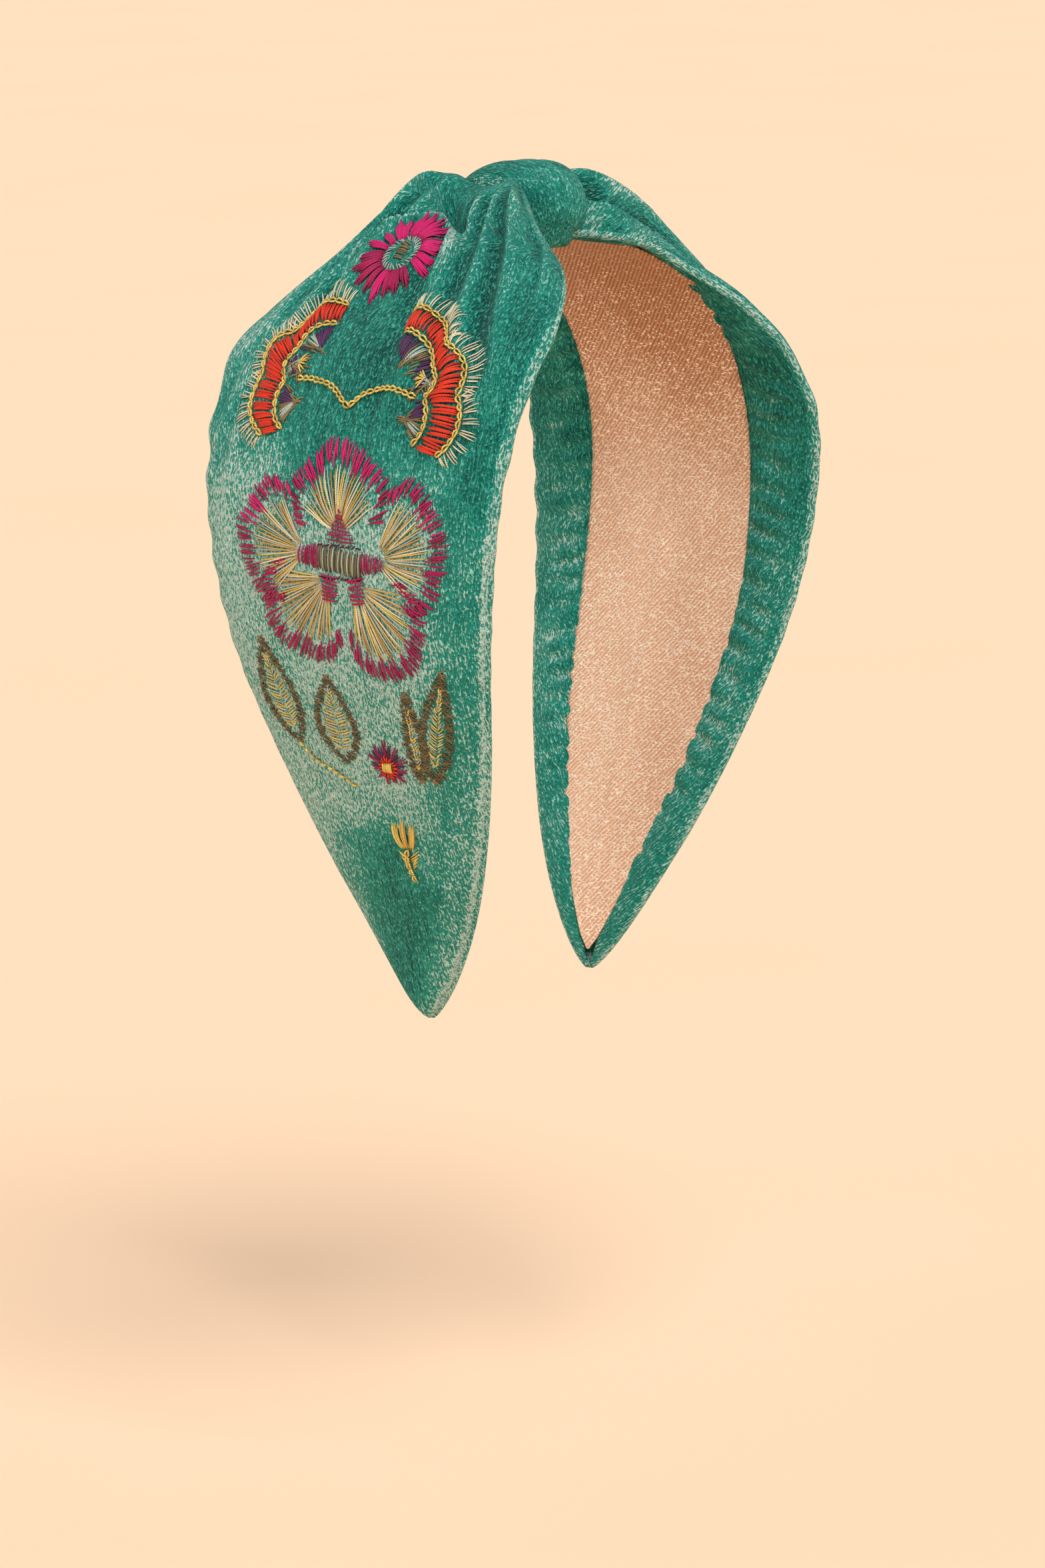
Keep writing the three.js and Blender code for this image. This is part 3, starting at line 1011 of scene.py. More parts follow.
def left_panel() -> Panel:
    """The embroidered panel."""
    rays = (
        (-9.5, -30, 1.3), (-7.4, -25.5, -1.5), (-5.4, -20.5, 1.4),
        (-3.4, -15.5, -1.4), (-1.6, -10.5, 1.2), (0.2, -6, -1.2),
    )
    fan = fanned(rays, (10, 28, 48), -1.5, (1.1, 2.3), 18)
    rays = (
        (9.5, 15.5, 1.0), (11.4, 19, -1.2), (13.2, 22, 1.3),
        (15.2, 25, -1.2), (17.0, 28.5, 1.0),
    )
    behind = fanned(rays, (7, 26, 46), -1, (1.3, 2.6), 12)
    lap = ((5, -5.4), (10, -10.4), (17, -18.6), (24, -25), (31, -28))
    seam = ((6, -7.4), (12, -14.6), (19, -22.4), (28, -28.8))
    lapped = (Fold(lap, -1.3, 0.8, 0.9, crease=True, fade=5), Fold(seam, 0.9, 1.0, fade=5))
    lines = [
        Fold(((52, v), (66, v * 1.05 - 0.5), (82, v * 1.1)), 0.35, 1.2, 1.6, fade=10, start_fade=8)
        for v in (-8, -3.5, 1.5, 7.0, 25.5)
    ]
    creases = (
        Fold(((44, 27), (54, 31.5), (62, 33)), -0.9, 1.6, fade=6),
        Fold(((52, 24), (62, 29), (72, 32)), -0.7, 1.6, fade=6),
    )
    front = (
        (-6, -6), (0, -6), (3, -7), (5, -8.8), (8, -12), (12, -16.7),
        (18, -23.8), (23, -28.3), (28, -31.6), (36, -34.6), (46, -35.6),
    )
    back = (
        (-6, 7), (0, 8), (3, 11), (6, 17.5), (9, 20.5),
        (15, 22), (25, 24.5), (33, 28.5), (46, 34.5),
    )
    bunches = (
        Gather(5.0, (9.5, -9.0), 9, 4.4, lean=-0.55, spread=0.15),
        Gather(1.6, (9, -1.5), 8, 4),
        Gather(4.9, (8, 14), 14, 6.4, lean=0.4),
        Gather(-4.6, (13, 4), 3.2, 2.4, lean=-1.2),
        POUCH,
    )
    folds = (*fan, *behind, *lapped, *lines, *creases)
    return Panel(Side.LEFT, Edge(front), Edge(back), folds, bunches, left_silver)


def right_panel() -> Panel:
    """The plain panel, its edges those of the left one turned half round."""
    valleys = (
        Fold(((7, -7.5), (14, -11.6), (25, -13.8), (34, -18.5)), -3.4, 1.1, 1.5, fade=10),
        Fold(((7, -1), (18, -4), (27, -7), (36, -12)), -2.8, 1.2, 1.8, fade=10),
        Fold(((7, 5), (18, 7), (32, 10)), -1.4, 1.2, 1.8, fade=10),
    )
    rolls = (
        Fold(((7, -4.5), (14, -8), (25, -10.6), (36, -15.5)), 1.3, 1.5, 2.0, fade=10),
        Fold(((6, 2.5), (14, 3), (26, 1), (38, -6)), 1.0, 1.8, 2.4, fade=14),
    )
    rays = ((9.5, 31, 0.9), (7.0, 25, -0.7), (4.6, 19.5, 0.9), (2.5, 14, -0.6))
    fan = fanned(rays, (10, 28, 48), 1.5, (1.5, 3.2), 18)
    front = (
        (-6, -6.5), (0, -7), (4, -8.5), (8, -11.5), (13, -16.4),
        (25, -18), (31, -20.5), (40, -26.5), (52, -32), (66, -34.6),
    )
    back = (
        (-6, 7), (0, 7), (7, 7.4), (11, 9.5), (14, 14),
        (19, 24), (26, 32), (35, 35), (46, 35),
    )
    bunches = (Gather(4.2, (16, -7.5), 19, 5.0, lean=-0.25), Gather(1.6, (14, 9), 14, 6))
    return Panel(Side.RIGHT, Edge(front), Edge(back), (*valleys, *rolls, *fan), bunches, right_silver)


@dataclass
class CrownLoop:
    """The puffed velvet loop: a diagonal roll over the crown, flat where it passes underneath.

    Each point of its route is a run, a place across, a height, a half width and a half thickness.
    """

    route: tuple[tuple[float, float, float, float, float], ...] = (
        (-4.5, 12.6, 2.8, 6.5, 2.2),
        (-4.5, 10.6, 7.6, 7.8, 3.4),
        (-3.6, 5.5, 10.3, 8.8, 4.0),
        (-2.8, -0.5, 10.8, 8.8, 4.2),
        (-1.8, -5.2, 9.2, 7.6, 3.9),
        (-0.6, -8.0, 6.2, 6.8, 3.0),
        (0.4, -8.5, 3.2, 5.4, 1.2),
        (0.8, -7.0, -0.4, 5.4, 0.5),
        (0.0, -1.5, -0.75, 6.2, 0.6),
        (-2.0, 5.0, -0.75, 6.6, 0.6),
        (-4.0, 11.4, 0.0, 6.4, 1.0),
    )
    rings: int = 150
    sides: int = 72
    samples: int = 2000
    breadth: tuple[float, float, float] = (0.96, -0.28, 0.0)
    side_power: float = 0.9
    top_power: float = 0.8
    girth: float = 0.45

    def rings_along(self) -> Array:
        """The route as a closed round of even rings, each as run, across, height and half sizes."""
        lap = 2
        closed = (*self.route[-lap:], *self.route, *self.route[:lap])
        per = self.samples / (len(closed) - 1)
        low, high = int(lap * per), int((len(self.route) + lap) * per)
        kept = np.linspace(low, high, self.rings + 1).astype(int)[:-1]
        return through(closed, self.samples)[kept]

    def build(self) -> bpy.types.Object:
        """Makes the closed roll, creased on top where its cloth is drawn round."""
        line = self.rings_along()
        centre = ARCH.place(Side.LEFT, line[:, 0], line[:, 1], line[:, 2])
        along = unit(np.roll(centre, -1, axis=0) - np.roll(centre, 1, axis=0))
        wide = np.array(self.breadth)
        wide = unit(wide - along * (along @ wide)[:, None])
        out = np.cross(along, wide)
        angle = np.linspace(0, 2 * math.pi, self.sides, endpoint=False)
        c, n = np.cos(angle), np.sin(angle)
        run = np.linspace(0, 1, self.rings, endpoint=False)[:, None]
        on_top = np.sin(np.clip(run / 0.5, 0, 1) * math.pi) * (run < 0.5)
        creases = 0.10 * bell(c + 0.25 - 0.5 * run, 0.10) + 0.08 * bell(c - 0.45 + 0.4 * run, 0.09)
        crease = 1 - on_top * (creases - 0.02 * np.sin(7 * angle + 30 * run))
        width = line[:, 3:4] * np.sign(c) * np.abs(c) ** self.side_power * MM
        thick = line[:, 4:5] * np.sign(n) * np.abs(n) ** self.top_power * crease * MM
        points = centre[:, None] + width[..., None] * wide[:, None] + thick[..., None] * out[:, None]
        points = np.vstack([points, points[:1]])
        points = np.hstack([points, points[:, :1]])
        total = np.linalg.norm(np.diff(points[:, 0], axis=0), axis=1).sum()
        rows, columns = points.shape[:2]
        u, w = np.meshgrid(np.linspace(0, self.girth, columns), np.linspace(0, total * UV_PER_METRE, rows))
        # Painted highlights: along the roll's two side rims, and in a band a little over a third of the
        # way along it.
        rim_highlight = bell(np.abs(np.append(c, c[0]))[None, :] - 1, 0.05)
        nap_and_painted_light = 0.16 + 0.5 * rim_highlight + 0.3 * bell(w / w.max() - 0.36, 0.05)
        weave = Weave("puffed_crown_loop", points, np.stack([u, w], axis=-1), {"nap_and_painted_light": nap_and_painted_light})
        piece = weave.cut(np.array([0.0, 0.0, 1.0]))
        close_seams(piece)
        return piece


@dataclass
class Lining:
    """One arm's lining: ribbon from the crown to the tip, laid over the turned-in margins."""

    side: Side
    panel: Panel
    inside: float = 1.5
    rows: int = 230
    columns: int = 44
    thickness: float = 0.5
    first: float = 0.15
    short: float = 1.0
    level: float = 0.45
    highest: float = 0.8
    crease_depth: float = 0.35
    bow_depth: float = 0.45
    pinch_depth: float = 0.14

    def build(self) -> bpy.types.Object:
        """Makes the ribbon, a little wavy as it is drawn over the curve."""
        s = np.linspace(self.first, ARCH.arm_run - LEAF.lining_start - self.short, self.rows)[:, None]
        across = np.linspace(-1, 1, self.columns)[None, :]
        half = LEAF.lining_edge(s)
        front, back = self.panel.edges(s)
        low, high = np.maximum(-half, front + self.inside), np.minimum(half, back - self.inside)
        v = low + (across + 1) / 2 * (high - low)
        body = smooth(12, 30, s) * (1 - smooth(140, 170, s))
        wave = 0.28 * np.sin(s * 0.09 + v * 0.14) * np.sin(v * 0.23 + 1.1)
        wave = wave + 0.12 * np.sin(s * 0.31 + v * 0.3)
        crease = self.crease_depth * bell(v - 1.5 - 1.2 * np.sin(s * 0.04), 0.9) * smooth(30, 60, s)
        bow = self.bow_depth * (1 - across**2)
        pinch = self.pinch_depth * np.sin(s * 2.1) * smooth(0.86, 1.0, np.abs(across))
        h = self.level + body * (wave * (1 - across**4) - crease - bow + 0.3 + pinch)
        points = ARCH.place(self.side, s, v, np.minimum(h, self.highest))
        # Painted light for the ribbon: dark at the crown, lighter down the arm and over a band towards the
        # back.
        light = smooth(18, 88, s) * 0.75 + 0.18 * bell(v - 6, 9) * smooth(40, 80, s)
        uv = np.stack(np.broadcast_arrays(v, s), axis=-1) * UV_PER_MM
        weave = Weave(f"{self.side.word}_lining_ribbon", points, uv, {"nap_and_painted_light": light})
        piece = weave.cut(np.array([-self.side.value, 0, 0]))
        thicken(piece, self.thickness)
        return piece


@dataclass
class FoamPad:
    """One arm's foam pad: flat on the strip, crowned under the velvet, thin at its ends."""

    side: Side
    panel: Panel
    start: float = 20.0
    end_from_tip: float = 26.0
    width_share: float = 0.8
    bottom: float = 4.05
    slack: float = 1.9
    inside: float = 6.0
    shoulder: float = 0.72
    thinnest: float = 0.35
    rows: int = 60
    columns: int = 26

    def build(self) -> bpy.types.Object:
        """Makes the closed pad from a flat face and a crowned one."""
        s = np.linspace(self.start, ARCH.arm_run - self.end_from_tip, self.rows)[:, None]
        across = np.linspace(-1, 1, self.columns)[None, :]
        front, back = self.panel.edges(s)
        spread = across * self.width_share * LEAF.outline(s)
        v = np.clip(spread, front + self.inside, back - self.inside)
        far = np.linspace(-1, 1, self.rows)[:, None]
        round_end = np.sqrt(np.clip(1 - far**8, 0.05, 1))
        crown = np.sqrt(np.clip(1 - np.abs(across) ** 3, 0.03, 1)) * round_end
        room = LEAF.edge_height + LEAF.rise(s) * LEAF.dome(np.abs(across * self.shoulder)) - self.slack
        height = self.bottom + np.maximum(room - self.bottom, self.thinnest) * crown
        top = ARCH.place(self.side, s, v, height)
        bottom = ARCH.place(self.side, s, v, np.array(self.bottom))
        points = np.hstack([top, bottom[:, ::-1], top[:, :1]])
        caps = [np.broadcast_to(end.mean(axis=0), end.shape)[None] for end in (points[0], points[-1])]
        points = np.vstack([caps[0], points, caps[1]])
        uv = points[..., 1:] * UV_PER_METRE
        piece = Weave(f"{self.side.word}_foam_pad", points, uv).cut(np.array([self.side.value, 0, 0]))
        close_seams(piece)
        return piece


# ---- embroidery ----


class Needle:
    """Lays stitches on a panel: each is a short twisted thread that dips into the velvet at its ends."""

    sides: int = 6
    cuts: int = 5
    flatness: float = 0.8
    dip: float = 0.12
    loft: float = 0.42
    thin_end: float = 0.4

    def __init__(self, panel: Panel, seed: int) -> None:
        """Starts with no stitches, and a seeded hand."""
        self.panel = panel
        self.hand = np.random.default_rng(seed)
        self.rows: list[tuple[float, ...]] = []

    def stitch(
        self,
        a: Place,
        b: Place,
        floss: Floss,
        width: float = 0.42,
        bow: float = 0.0,
        rise: float = 0.0,
        jitter: float = 0.12,
    ) -> None:
        """Adds a stitch from a to b.

        Args:
            a: Where the thread comes up, as run and across.
            b: Where it goes down.
            floss: Its thread.
            width: The thread's width.
            bow: How far its middle bends sideways.
            rise: Extra height of its middle above the velvet.
            jitter: How uneven the hand is, at the ends.
        """
        wander = self.hand.normal(0, jitter, 4)
        shade = 1 + self.hand.normal(0, 0.13)
        colour, metal = floss.value
        tint = [min(max(part * shade, 0), 1) for part in colour]
        ends = (a[0] + wander[0], a[1] + wander[1], b[0] + wander[2], b[1] + wander[3])
        self.rows.append((*ends, width, bow, rise, *tint, metal))

    def pair(self, a: Array, b: Array, floss: Floss, spread: float) -> None:
        """Adds two fine stitches side by side, spread apart at a and closer at b."""
        aside = square_to(b - a) * spread
        for k in (-0.5, 0.5):
            self.stitch(a + aside * k, b + aside * k * 0.45, floss, 0.32, rise=0.12)

    def chain(self, line: Array, link: float = 1.45) -> None:
        """Adds gold chain stitch along a line: bowed pairs, each link starting in the last."""
        knots = stepped(line, link)
        for a, b in zip(knots, knots[1:]):
            for bow in (-0.36, 0.36):
                self.stitch(a, a + (b - a) * 1.18, Floss.GOLD, 0.44, bow=bow, rise=0.3, jitter=0.05)

    @classmethod
    def template(cls) -> tuple[Array, list[tuple[int, ...]]]:
        """One straight thread of unit radius and length, cut across for bending."""
        bpy.ops.object.select_all(action="DESELECT")
        bpy.ops.mesh.primitive_cylinder_add(vertices=cls.sides, radius=1, depth=1, end_fill_type="TRIFAN")
        thread = bpy.context.active_object
        mesh = thread.data
        bpy.ops.object.mode_set(mode="EDIT")
        bpy.ops.mesh.select_mode(type="EDGE")
        bpy.ops.object.mode_set(mode="OBJECT")
        for part in (mesh.vertices, mesh.polygons):
            part.foreach_set("select", np.zeros(len(part), bool))
        for edge in mesh.edges:
            low, high = (mesh.vertices[i].co.z for i in edge.vertices)
            edge.select = abs(high - low) > 0.5
        bpy.ops.object.mode_set(mode="EDIT")
        bpy.ops.mesh.subdivide(number_cuts=cls.cuts)
        bpy.ops.object.mode_set(mode="OBJECT")
        corners = np.array([v.co for v in mesh.vertices])
        faces = [tuple(face.vertices) for face in mesh.polygons]
        bpy.data.objects.remove(thread)
        return corners, faces

    def sew(self, name: str) -> bpy.types.Object:
        """Makes one piece of all the stitches.

        Args:
            name: The motif's name.

        Returns:
            The piece, named for the motif's stitches.
        """
        corners, faces = self.template()
        data = np.array(self.rows)
        rings, which = np.unique(np.round(corners[:, 2], 4), return_inverse=True)
        t = (rings + 0.5)[None, :]
        s0, v0, s1, v1, width, bow, rise = (data[:, [k]] for k in range(7))
        length = np.hypot(s1 - s0, v1 - v0) + 1e-6
        side_s, side_v = -(v1 - v0) / length, (s1 - s0) / length
        arc = np.sin(math.pi * t)
        s = s0 + (s1 - s0) * t + side_s * bow * arc
        v = v0 + (v1 - v0) * t + side_v * bow * arc
        lift = (self.dip + width * self.loft + rise) * np.sqrt(arc) - self.dip
        lift = lift + self.hand.uniform(0, 0.1, (len(data), 1))
        centre = self.panel.on(s, v, lift)
        along = unit(np.gradient(centre, axis=1))
        up = self.panel.on(s, v, lift + 1.0) - centre
        across = unit(np.cross(along, up))
        out = np.cross(across, along)
        girth = self.thin_end + (1 - self.thin_end) * np.sqrt(arc)
        radius = (width / 2 * girth * MM)[..., None]
        x, y = corners[:, 0][None, :, None], corners[:, 1][None, :, None] * self.flatness
        at = centre[:, which] + radius[:, which] * (x * across[:, which] + y * out[:, which])
        count = len(corners)
        polygons = [[i + k * count for i in face] for k in range(len(data)) for face in faces]
        mesh = bpy.data.meshes.new(f"{name}_stitches")
        mesh.from_pydata(at.reshape(-1, 3).tolist(), [], polygons)
        piece = bpy.data.objects.new(mesh.name, mesh)
        bpy.context.scene.collection.objects.link(piece)
        turn = np.arctan2(corners[:, 1], corners[:, 0]) / (2 * math.pi)
        run = t[:, which] * length * UV_PER_MM
        write_uv(mesh, np.stack([run, np.broadcast_to(turn, run.shape)], axis=-1).reshape(-1, 2))
        write_attribute(mesh, "floss", np.repeat(data[:, 7:10], count, axis=0))
        write_attribute(mesh, "metal", np.repeat(data[:, 10], count))
        edit(piece, lambda: bpy.ops.mesh.normals_make_consistent(inside=False))
        smooth_faces(piece)
        return piece


def scallops(cusps: Sequence[Point], bulge: float, count: int) -> Array:
    """Points along arcs that bulge between cusps, count to each arc."""
    arcs = []
    for a, b in zip(cusps, cusps[1:]):
        t = np.linspace(0, 1, count, endpoint=False)[:, None]
        step = np.subtract(b, a)
        arcs.append(np.array(a) + step * t + square_to(step) * bulge * np.sin(math.pi * t) ** 0.8)
    return np.vstack([*arcs, [cusps[-1]]])


@dataclass
class Daisy:
    """The round flower at the top: satin petals about an open khaki eye."""

    centre: Point = (27.3, 2.8)
    reach: Point = (9.6, 8.8)
    eye: float = 3.6
    petals: int = 20
    petal_stitches: int = 7
    petal_half: float = 0.105
    lit_from: float = math.radians(215)
    ring_stitches: int = 30
    ring_outer: Point = (3.9, 3.9)
    ring_inner: Point = (2.5, 2.5)

    def sew(self, panel: Panel) -> bpy.types.Object:
        """Stitches the flower."""
        needle = Needle(panel, 11)
        for k in range(self.petals):
            angle = 2 * math.pi * (k + 0.5) / self.petals + needle.hand.normal(0, 0.035)
            # Petals on the light's side are painted lit in magenta, the rest crimson.
            lit = math.cos(angle - self.lit_from) > -0.15 or k % 5 == 0
            floss = Floss.MAGENTA if lit else Floss.CRIMSON
            reach = 1 + needle.hand.normal(0, 0.05)
            for j in np.linspace(-1, 1, self.petal_stitches):
                far = reach * (1 - 0.16 * abs(j) ** 1.5)
                ends = (self.reach[0] * far, self.reach[1] * far)
                tip = ellipse(self.centre, angle + j * self.petal_half, ends)
                root = ellipse(self.centre, angle + j * 0.10, (self.eye, self.eye))
                needle.stitch(tip, root, floss, rise=0.38, jitter=0.09)
        for angle in np.linspace(0, 2 * math.pi, self.ring_stitches, endpoint=False):
            outer = ellipse(self.centre, angle, self.ring_outer)
            inner = ellipse(self.centre, angle + 0.25, self.ring_inner)
            needle.stitch(outer, inner, Floss.SILVER, 0.3)
        s, v = self.centre
        for k in np.linspace(-1.6, 1.6, 10):
            needle.stitch((s + k, v - 1.3), (s + k - 0.5, v + 1.3), Floss.KHAKI, 0.36, rise=0.2)
        return needle.sew("daisy")


@dataclass
class Wing:
    """A scalloped scarlet wing with gold chain outlines, a cream fringe and dark lobes inside."""

    name: str
    outer: tuple[Point, ...]
    inner: tuple[Point, ...]
    hand: int
    seed: int
    outer_bulge: float = 2.6
    inner_bulge: float = 2.0
    arc_points: int = 24
    satin_count: int = 88
    fringe_count: int = 96
    lobe_count: int = 66
    purple_only: int = 12
    heart_at: int = 38

    def sew(self, panel: Panel) -> bpy.types.Object:
        """Stitches the wing."""
        needle = Needle(panel, self.seed)
        outer = scallops(self.outer, self.outer_bulge * self.hand, self.arc_points)
        inner = scallops(self.inner, self.inner_bulge * self.hand, self.arc_points)
        self.fan(needle, outer, inner)
        self.fringe(needle, outer)
        self.lobes(needle, inner)
        needle.chain(outer)
        needle.chain(inner)
        return needle.sew(self.name)

    def fan(self, needle: Needle, outer: Array, inner: Array) -> None:
        """Scarlet satin from the outer outline to the inner one, in close fours with gaps between."""
        ends = zip(spaced(outer, self.satin_count), spaced(inner, self.satin_count))
        for k, (far, near) in enumerate(ends):
            if k % 5 == 4:
                continue
            across = near - far
            a, b = far + across * 0.07, far + across * (0.93 - 0.12 * (k % 2))
            needle.stitch(a, b, Floss.SCARLET, 0.5, rise=0.35, jitter=0.14)

    def fringe(self, needle: Needle, outer: Array) -> None:
        """Cream threads that stand out from the outer outline, three to a tuft."""
        count = self.fringe_count
        line = spaced(outer, count)
        out = square_to(np.gradient(line, axis=0)) * self.hand
        for k in range(1, count - 1):
            if k % 4 == 3:
                continue
            length = 2.6 + 1.3 * math.sin(math.pi * (3 * k / count % 1)) + needle.hand.normal(0, 0.25)
            floss = Floss.CREAM if k % 7 else Floss.SILVER
            a, b = line[k] + out[k] * 0.2, line[k] + out[k] * length
            needle.stitch(a, b, floss, 0.3, rise=0.1, jitter=0.16)

    def lobes(self, needle: Needle, inner: Array) -> None:
        """Purple and khaki threads inside the inner outline, and the gold sprig."""
        count = self.lobe_count
        line = spaced(inner, count)
        into = square_to(np.gradient(line, axis=0)) * -self.hand
        cycle = (Floss.PURPLE, Floss.PURPLE, Floss.KHAKI, Floss.SILVER, Floss.KHAKI)
        for k in range(1, count - 1):
            share = (k / count * 3) % 1
            length = 2.0 + 2.6 * math.sin(math.pi * share)
            a = line[k] + into[k] * 0.5
            floss = cycle[min(int(share * 5), 4)] if k > self.purple_only else Floss.PURPLE
            needle.stitch(a, a + into[k] * length, floss, 0.36, rise=0.15)
            if k % 2 and k > self.purple_only:
                b = a + into[k] * (length + 1.6)
                needle.stitch(a + into[k] * length * 0.8, b, Floss.KHAKI, 0.34)
        heart = line[self.heart_at] + into[self.heart_at] * 3.4
        for angle in np.linspace(-0.9, 0.9, 7):
            towards = into[self.heart_at] * math.cos(angle)
            aside = np.array([math.cos(angle) * 0.2 + 0.25 + math.sin(angle), 0])
            needle.stitch(heart, heart + (aside + towards) * 2.4, Floss.GOLD, 0.36, rise=0.2)


@dataclass
class Petal:
    """One petal of the blossom: its place and half lengths, and where its rays start.

    Its spread is in degrees to each side, and bright sets how much of its fringe on the crown's side is
    painted lit in magenta.
    """

    middle: Point
    reach: Point
    root: Point
    spread: float
    bright: float


@dataclass
class Blossom:
    """The large flower: five fringed petals with gold rays about a khaki block."""

    centre: Point = (80.6, -2.6)
    petals: tuple[Petal, ...] = (
        Petal((71.0, -1.8), (10.2, 11.4), (76.0, -2.2), 108, 1.2),
        Petal((78.6, 13.2), (11.0, 10.4), (79.5, 5.5), 104, 0.5),
        Petal((77.6, -17.6), (11.4, 8.8), (79.5, -10.6), 104, 0.45),
        Petal((89.0, 7.0), (10.0, 11.2), (83.6, 0.6), 102, 0.0),
        Petal((91.0, -11.4), (10.2, 9.6), (84.2, -5.6), 108, 0.15),
    )
    fringe: float = 4.4
    fringe_step: float = 0.6
    rays: int = 17
    ray_floss: tuple[Floss, ...] = (Floss.CREAM, Floss.GOLD, Floss.SILVER, Floss.OCHRE)
    block_half: float = 4.7
    block_floss: tuple[Floss, ...] = (Floss.OLIVE, Floss.KHAKI, Floss.SILVER)
    block_stitches: int = 25

    def sew(self, panel: Panel) -> bpy.types.Object:
        """Stitches the flower."""
        needle = Needle(panel, 23)
        for petal in self.petals:
            self.sew_petal(needle, petal)
        self.sew_heart(needle)
        return needle.sew("blossom")

    def sew_petal(self, needle: Needle, petal: Petal) -> None:
        """A fringe along the petal's outline, and rays from its root."""
        root = np.array(petal.root)
        axis = math.atan2(*np.subtract(petal.middle, self.centre)[::-1])
        spread = math.radians(petal.spread)
        count = int(2 * spread * max(petal.reach) / self.fringe_step)
        for k in range(count):
            share = 2 * (k + 0.5) / count - 1
            angle = axis + spread * share
            ripple = 1 + 0.045 * math.cos(3 * math.pi * share) + needle.hand.normal(0, 0.02)
            edge = ellipse(petal.middle, angle, (petal.reach[0] * ripple, petal.reach[1] * ripple))
            if k % 6 == 5:
                continue
            length = self.fringe * (1 - 0.42 * share**2) * (0.82 + 0.3 * (k % 2))
            length += needle.hand.normal(0, 0.4)
            # Fringe on the petal's crown side painted lit in magenta, the rest crimson.
            lit = math.cos(angle) < -0.35 and petal.bright > needle.hand.uniform(0.1, 0.75)
            floss = Floss.MAGENTA if lit else Floss.CRIMSON
            needle.stitch(edge, edge + unit(root - edge) * length, floss, 0.38, rise=0.14, jitter=0.2)
        for k, share in enumerate(np.linspace(-1, 1, self.rays)):
            edge = ellipse(petal.middle, axis + 0.74 * spread * share, petal.reach)
            reach = 1 - (self.fringe * 0.8 + 0.8 * (k % 2)) / np.hypot(*(edge - root))
            tip = root + (edge - root) * max(reach, 0.45)
            floss = self.ray_floss[(k + (petal.bright < 0.2)) % len(self.ray_floss)]
            needle.pair(tip, root + (tip - root) * 0.16, floss, 0.75)

    def sew_heart(self, needle: Needle) -> None:
        """The khaki block and the crimson blocks about it."""
        s, v = self.centre
        for k, at in enumerate(np.linspace(-self.block_half, self.block_half, self.block_stitches)):
            floss = self.block_floss[k % len(self.block_floss)]
            slant = s + at * 0.12
            needle.stitch((slant - 2.5, v - at), (slant + 2.2, v - at + 0.3), floss, 0.38, rise=0.2)
        for sign in (-1, 1):
            for k in range(9):
                at = v + sign * (5.4 + 0.52 * k)
                half = 2.7 - 0.12 * k
                a, b = (s - half - sign * 0.4, at), (s + half - 0.8, at + 0.3)
                needle.stitch(a, b, Floss.CRIMSON, 0.36, rise=0.3)
        for k in range(9):
            row = s - 3.4 - 0.62 * k
            half = 3.6 * (1 - 0.1 * k)
            needle.stitch((row, v - half + 0.3), (row - 0.5, v + half), Floss.CRIMSON, 0.38, rise=0.3)
        for sign in (-1, 1):
            for k in range(8):
                row = s + 3.1 + 0.55 * k
                a = (row, v + sign * (1.0 + 0.1 * k))
                needle.stitch(a, (row - 0.9 + 0.1 * k, v + sign * 5.2), Floss.CRIMSON, 0.38, rise=0.3)
        for k in range(14):
            at = v - 4.8 + 0.74 * k
            needle.stitch((s + 2.6, at), (s + 3.2, at + 0.8), Floss.WINE, 0.32)
            needle.stitch((s - 2.9, at), (s - 2.6, at + 0.8), Floss.WINE, 0.32)


@dataclass
class EmbroideredLeaf:
    """A stitched leaf: a zigzag outline in olive and slanted gold rungs along its rib."""

    name: str
    tip: Point
    base: Point
    half: Point
    seed: int
    lean: float = 0.0
    rung_step: float = 0.62

    def sew(self, panel: Panel) -> bpy.types.Object:
        """Stitches the leaf."""
        needle = Needle(panel, self.seed)
        tip, base = np.array(self.tip), np.array(self.base)
        along, side = base - tip, square_to(base - tip)
        length = np.hypot(*along)
        steps = int(length / self.rung_step)
        slant = along / length * 0.55
        for hand, half in zip((-1, 1), self.half):
            for k in range(steps):
                t = (k + 0.5) / steps
                wide = half * math.sin(math.pi * t**1.25) ** 0.85 + self.lean * hand * t * (1 - t)
                at = tip + along * t + side * hand * wide
                floss = Floss.OLIVE if k % 4 else Floss.KHAKI
                inner, outer = at - side * hand * 1.1, at + side * hand * 0.8
                needle.stitch(inner - slant, outer + slant, floss, 0.36, jitter=0.25)
                needle.stitch(outer - slant * 0.4, inner + slant, floss, 0.32, jitter=0.25)
                if 0.12 < t < 0.82:
                    rib = tip + along * (t + 0.05)
                    out = tip + along * t + side * hand * max(wide - 1.5, 0.5)
                    needle.stitch(out, rib, Floss.GOLD if k % 3 else Floss.SILVER, 0.32)
        return needle.sew(self.name)


@dataclass
class GoldLine:
    """A line of gold thread through its points: chain stitch, or short dashes."""

    name: str
    points: tuple[Point, ...]
    seed: int
    dashed: bool = False
    link: float = 1.25
    dash_step: float = 1.4
    dash_share: float = 0.72

    def sew(self, panel: Panel) -> bpy.types.Object:
        """Stitches the line."""
        needle = Needle(panel, self.seed)
        line = through(self.points, 60)
        if self.dashed:
            knots = stepped(line, self.dash_step)
            for a, b in zip(knots, knots[1:]):
                needle.stitch(a, a + (b - a) * self.dash_share, Floss.GOLD, 0.6, rise=0.25, jitter=0.06)
        else:
            needle.chain(line, self.link)
        return needle.sew(self.name)


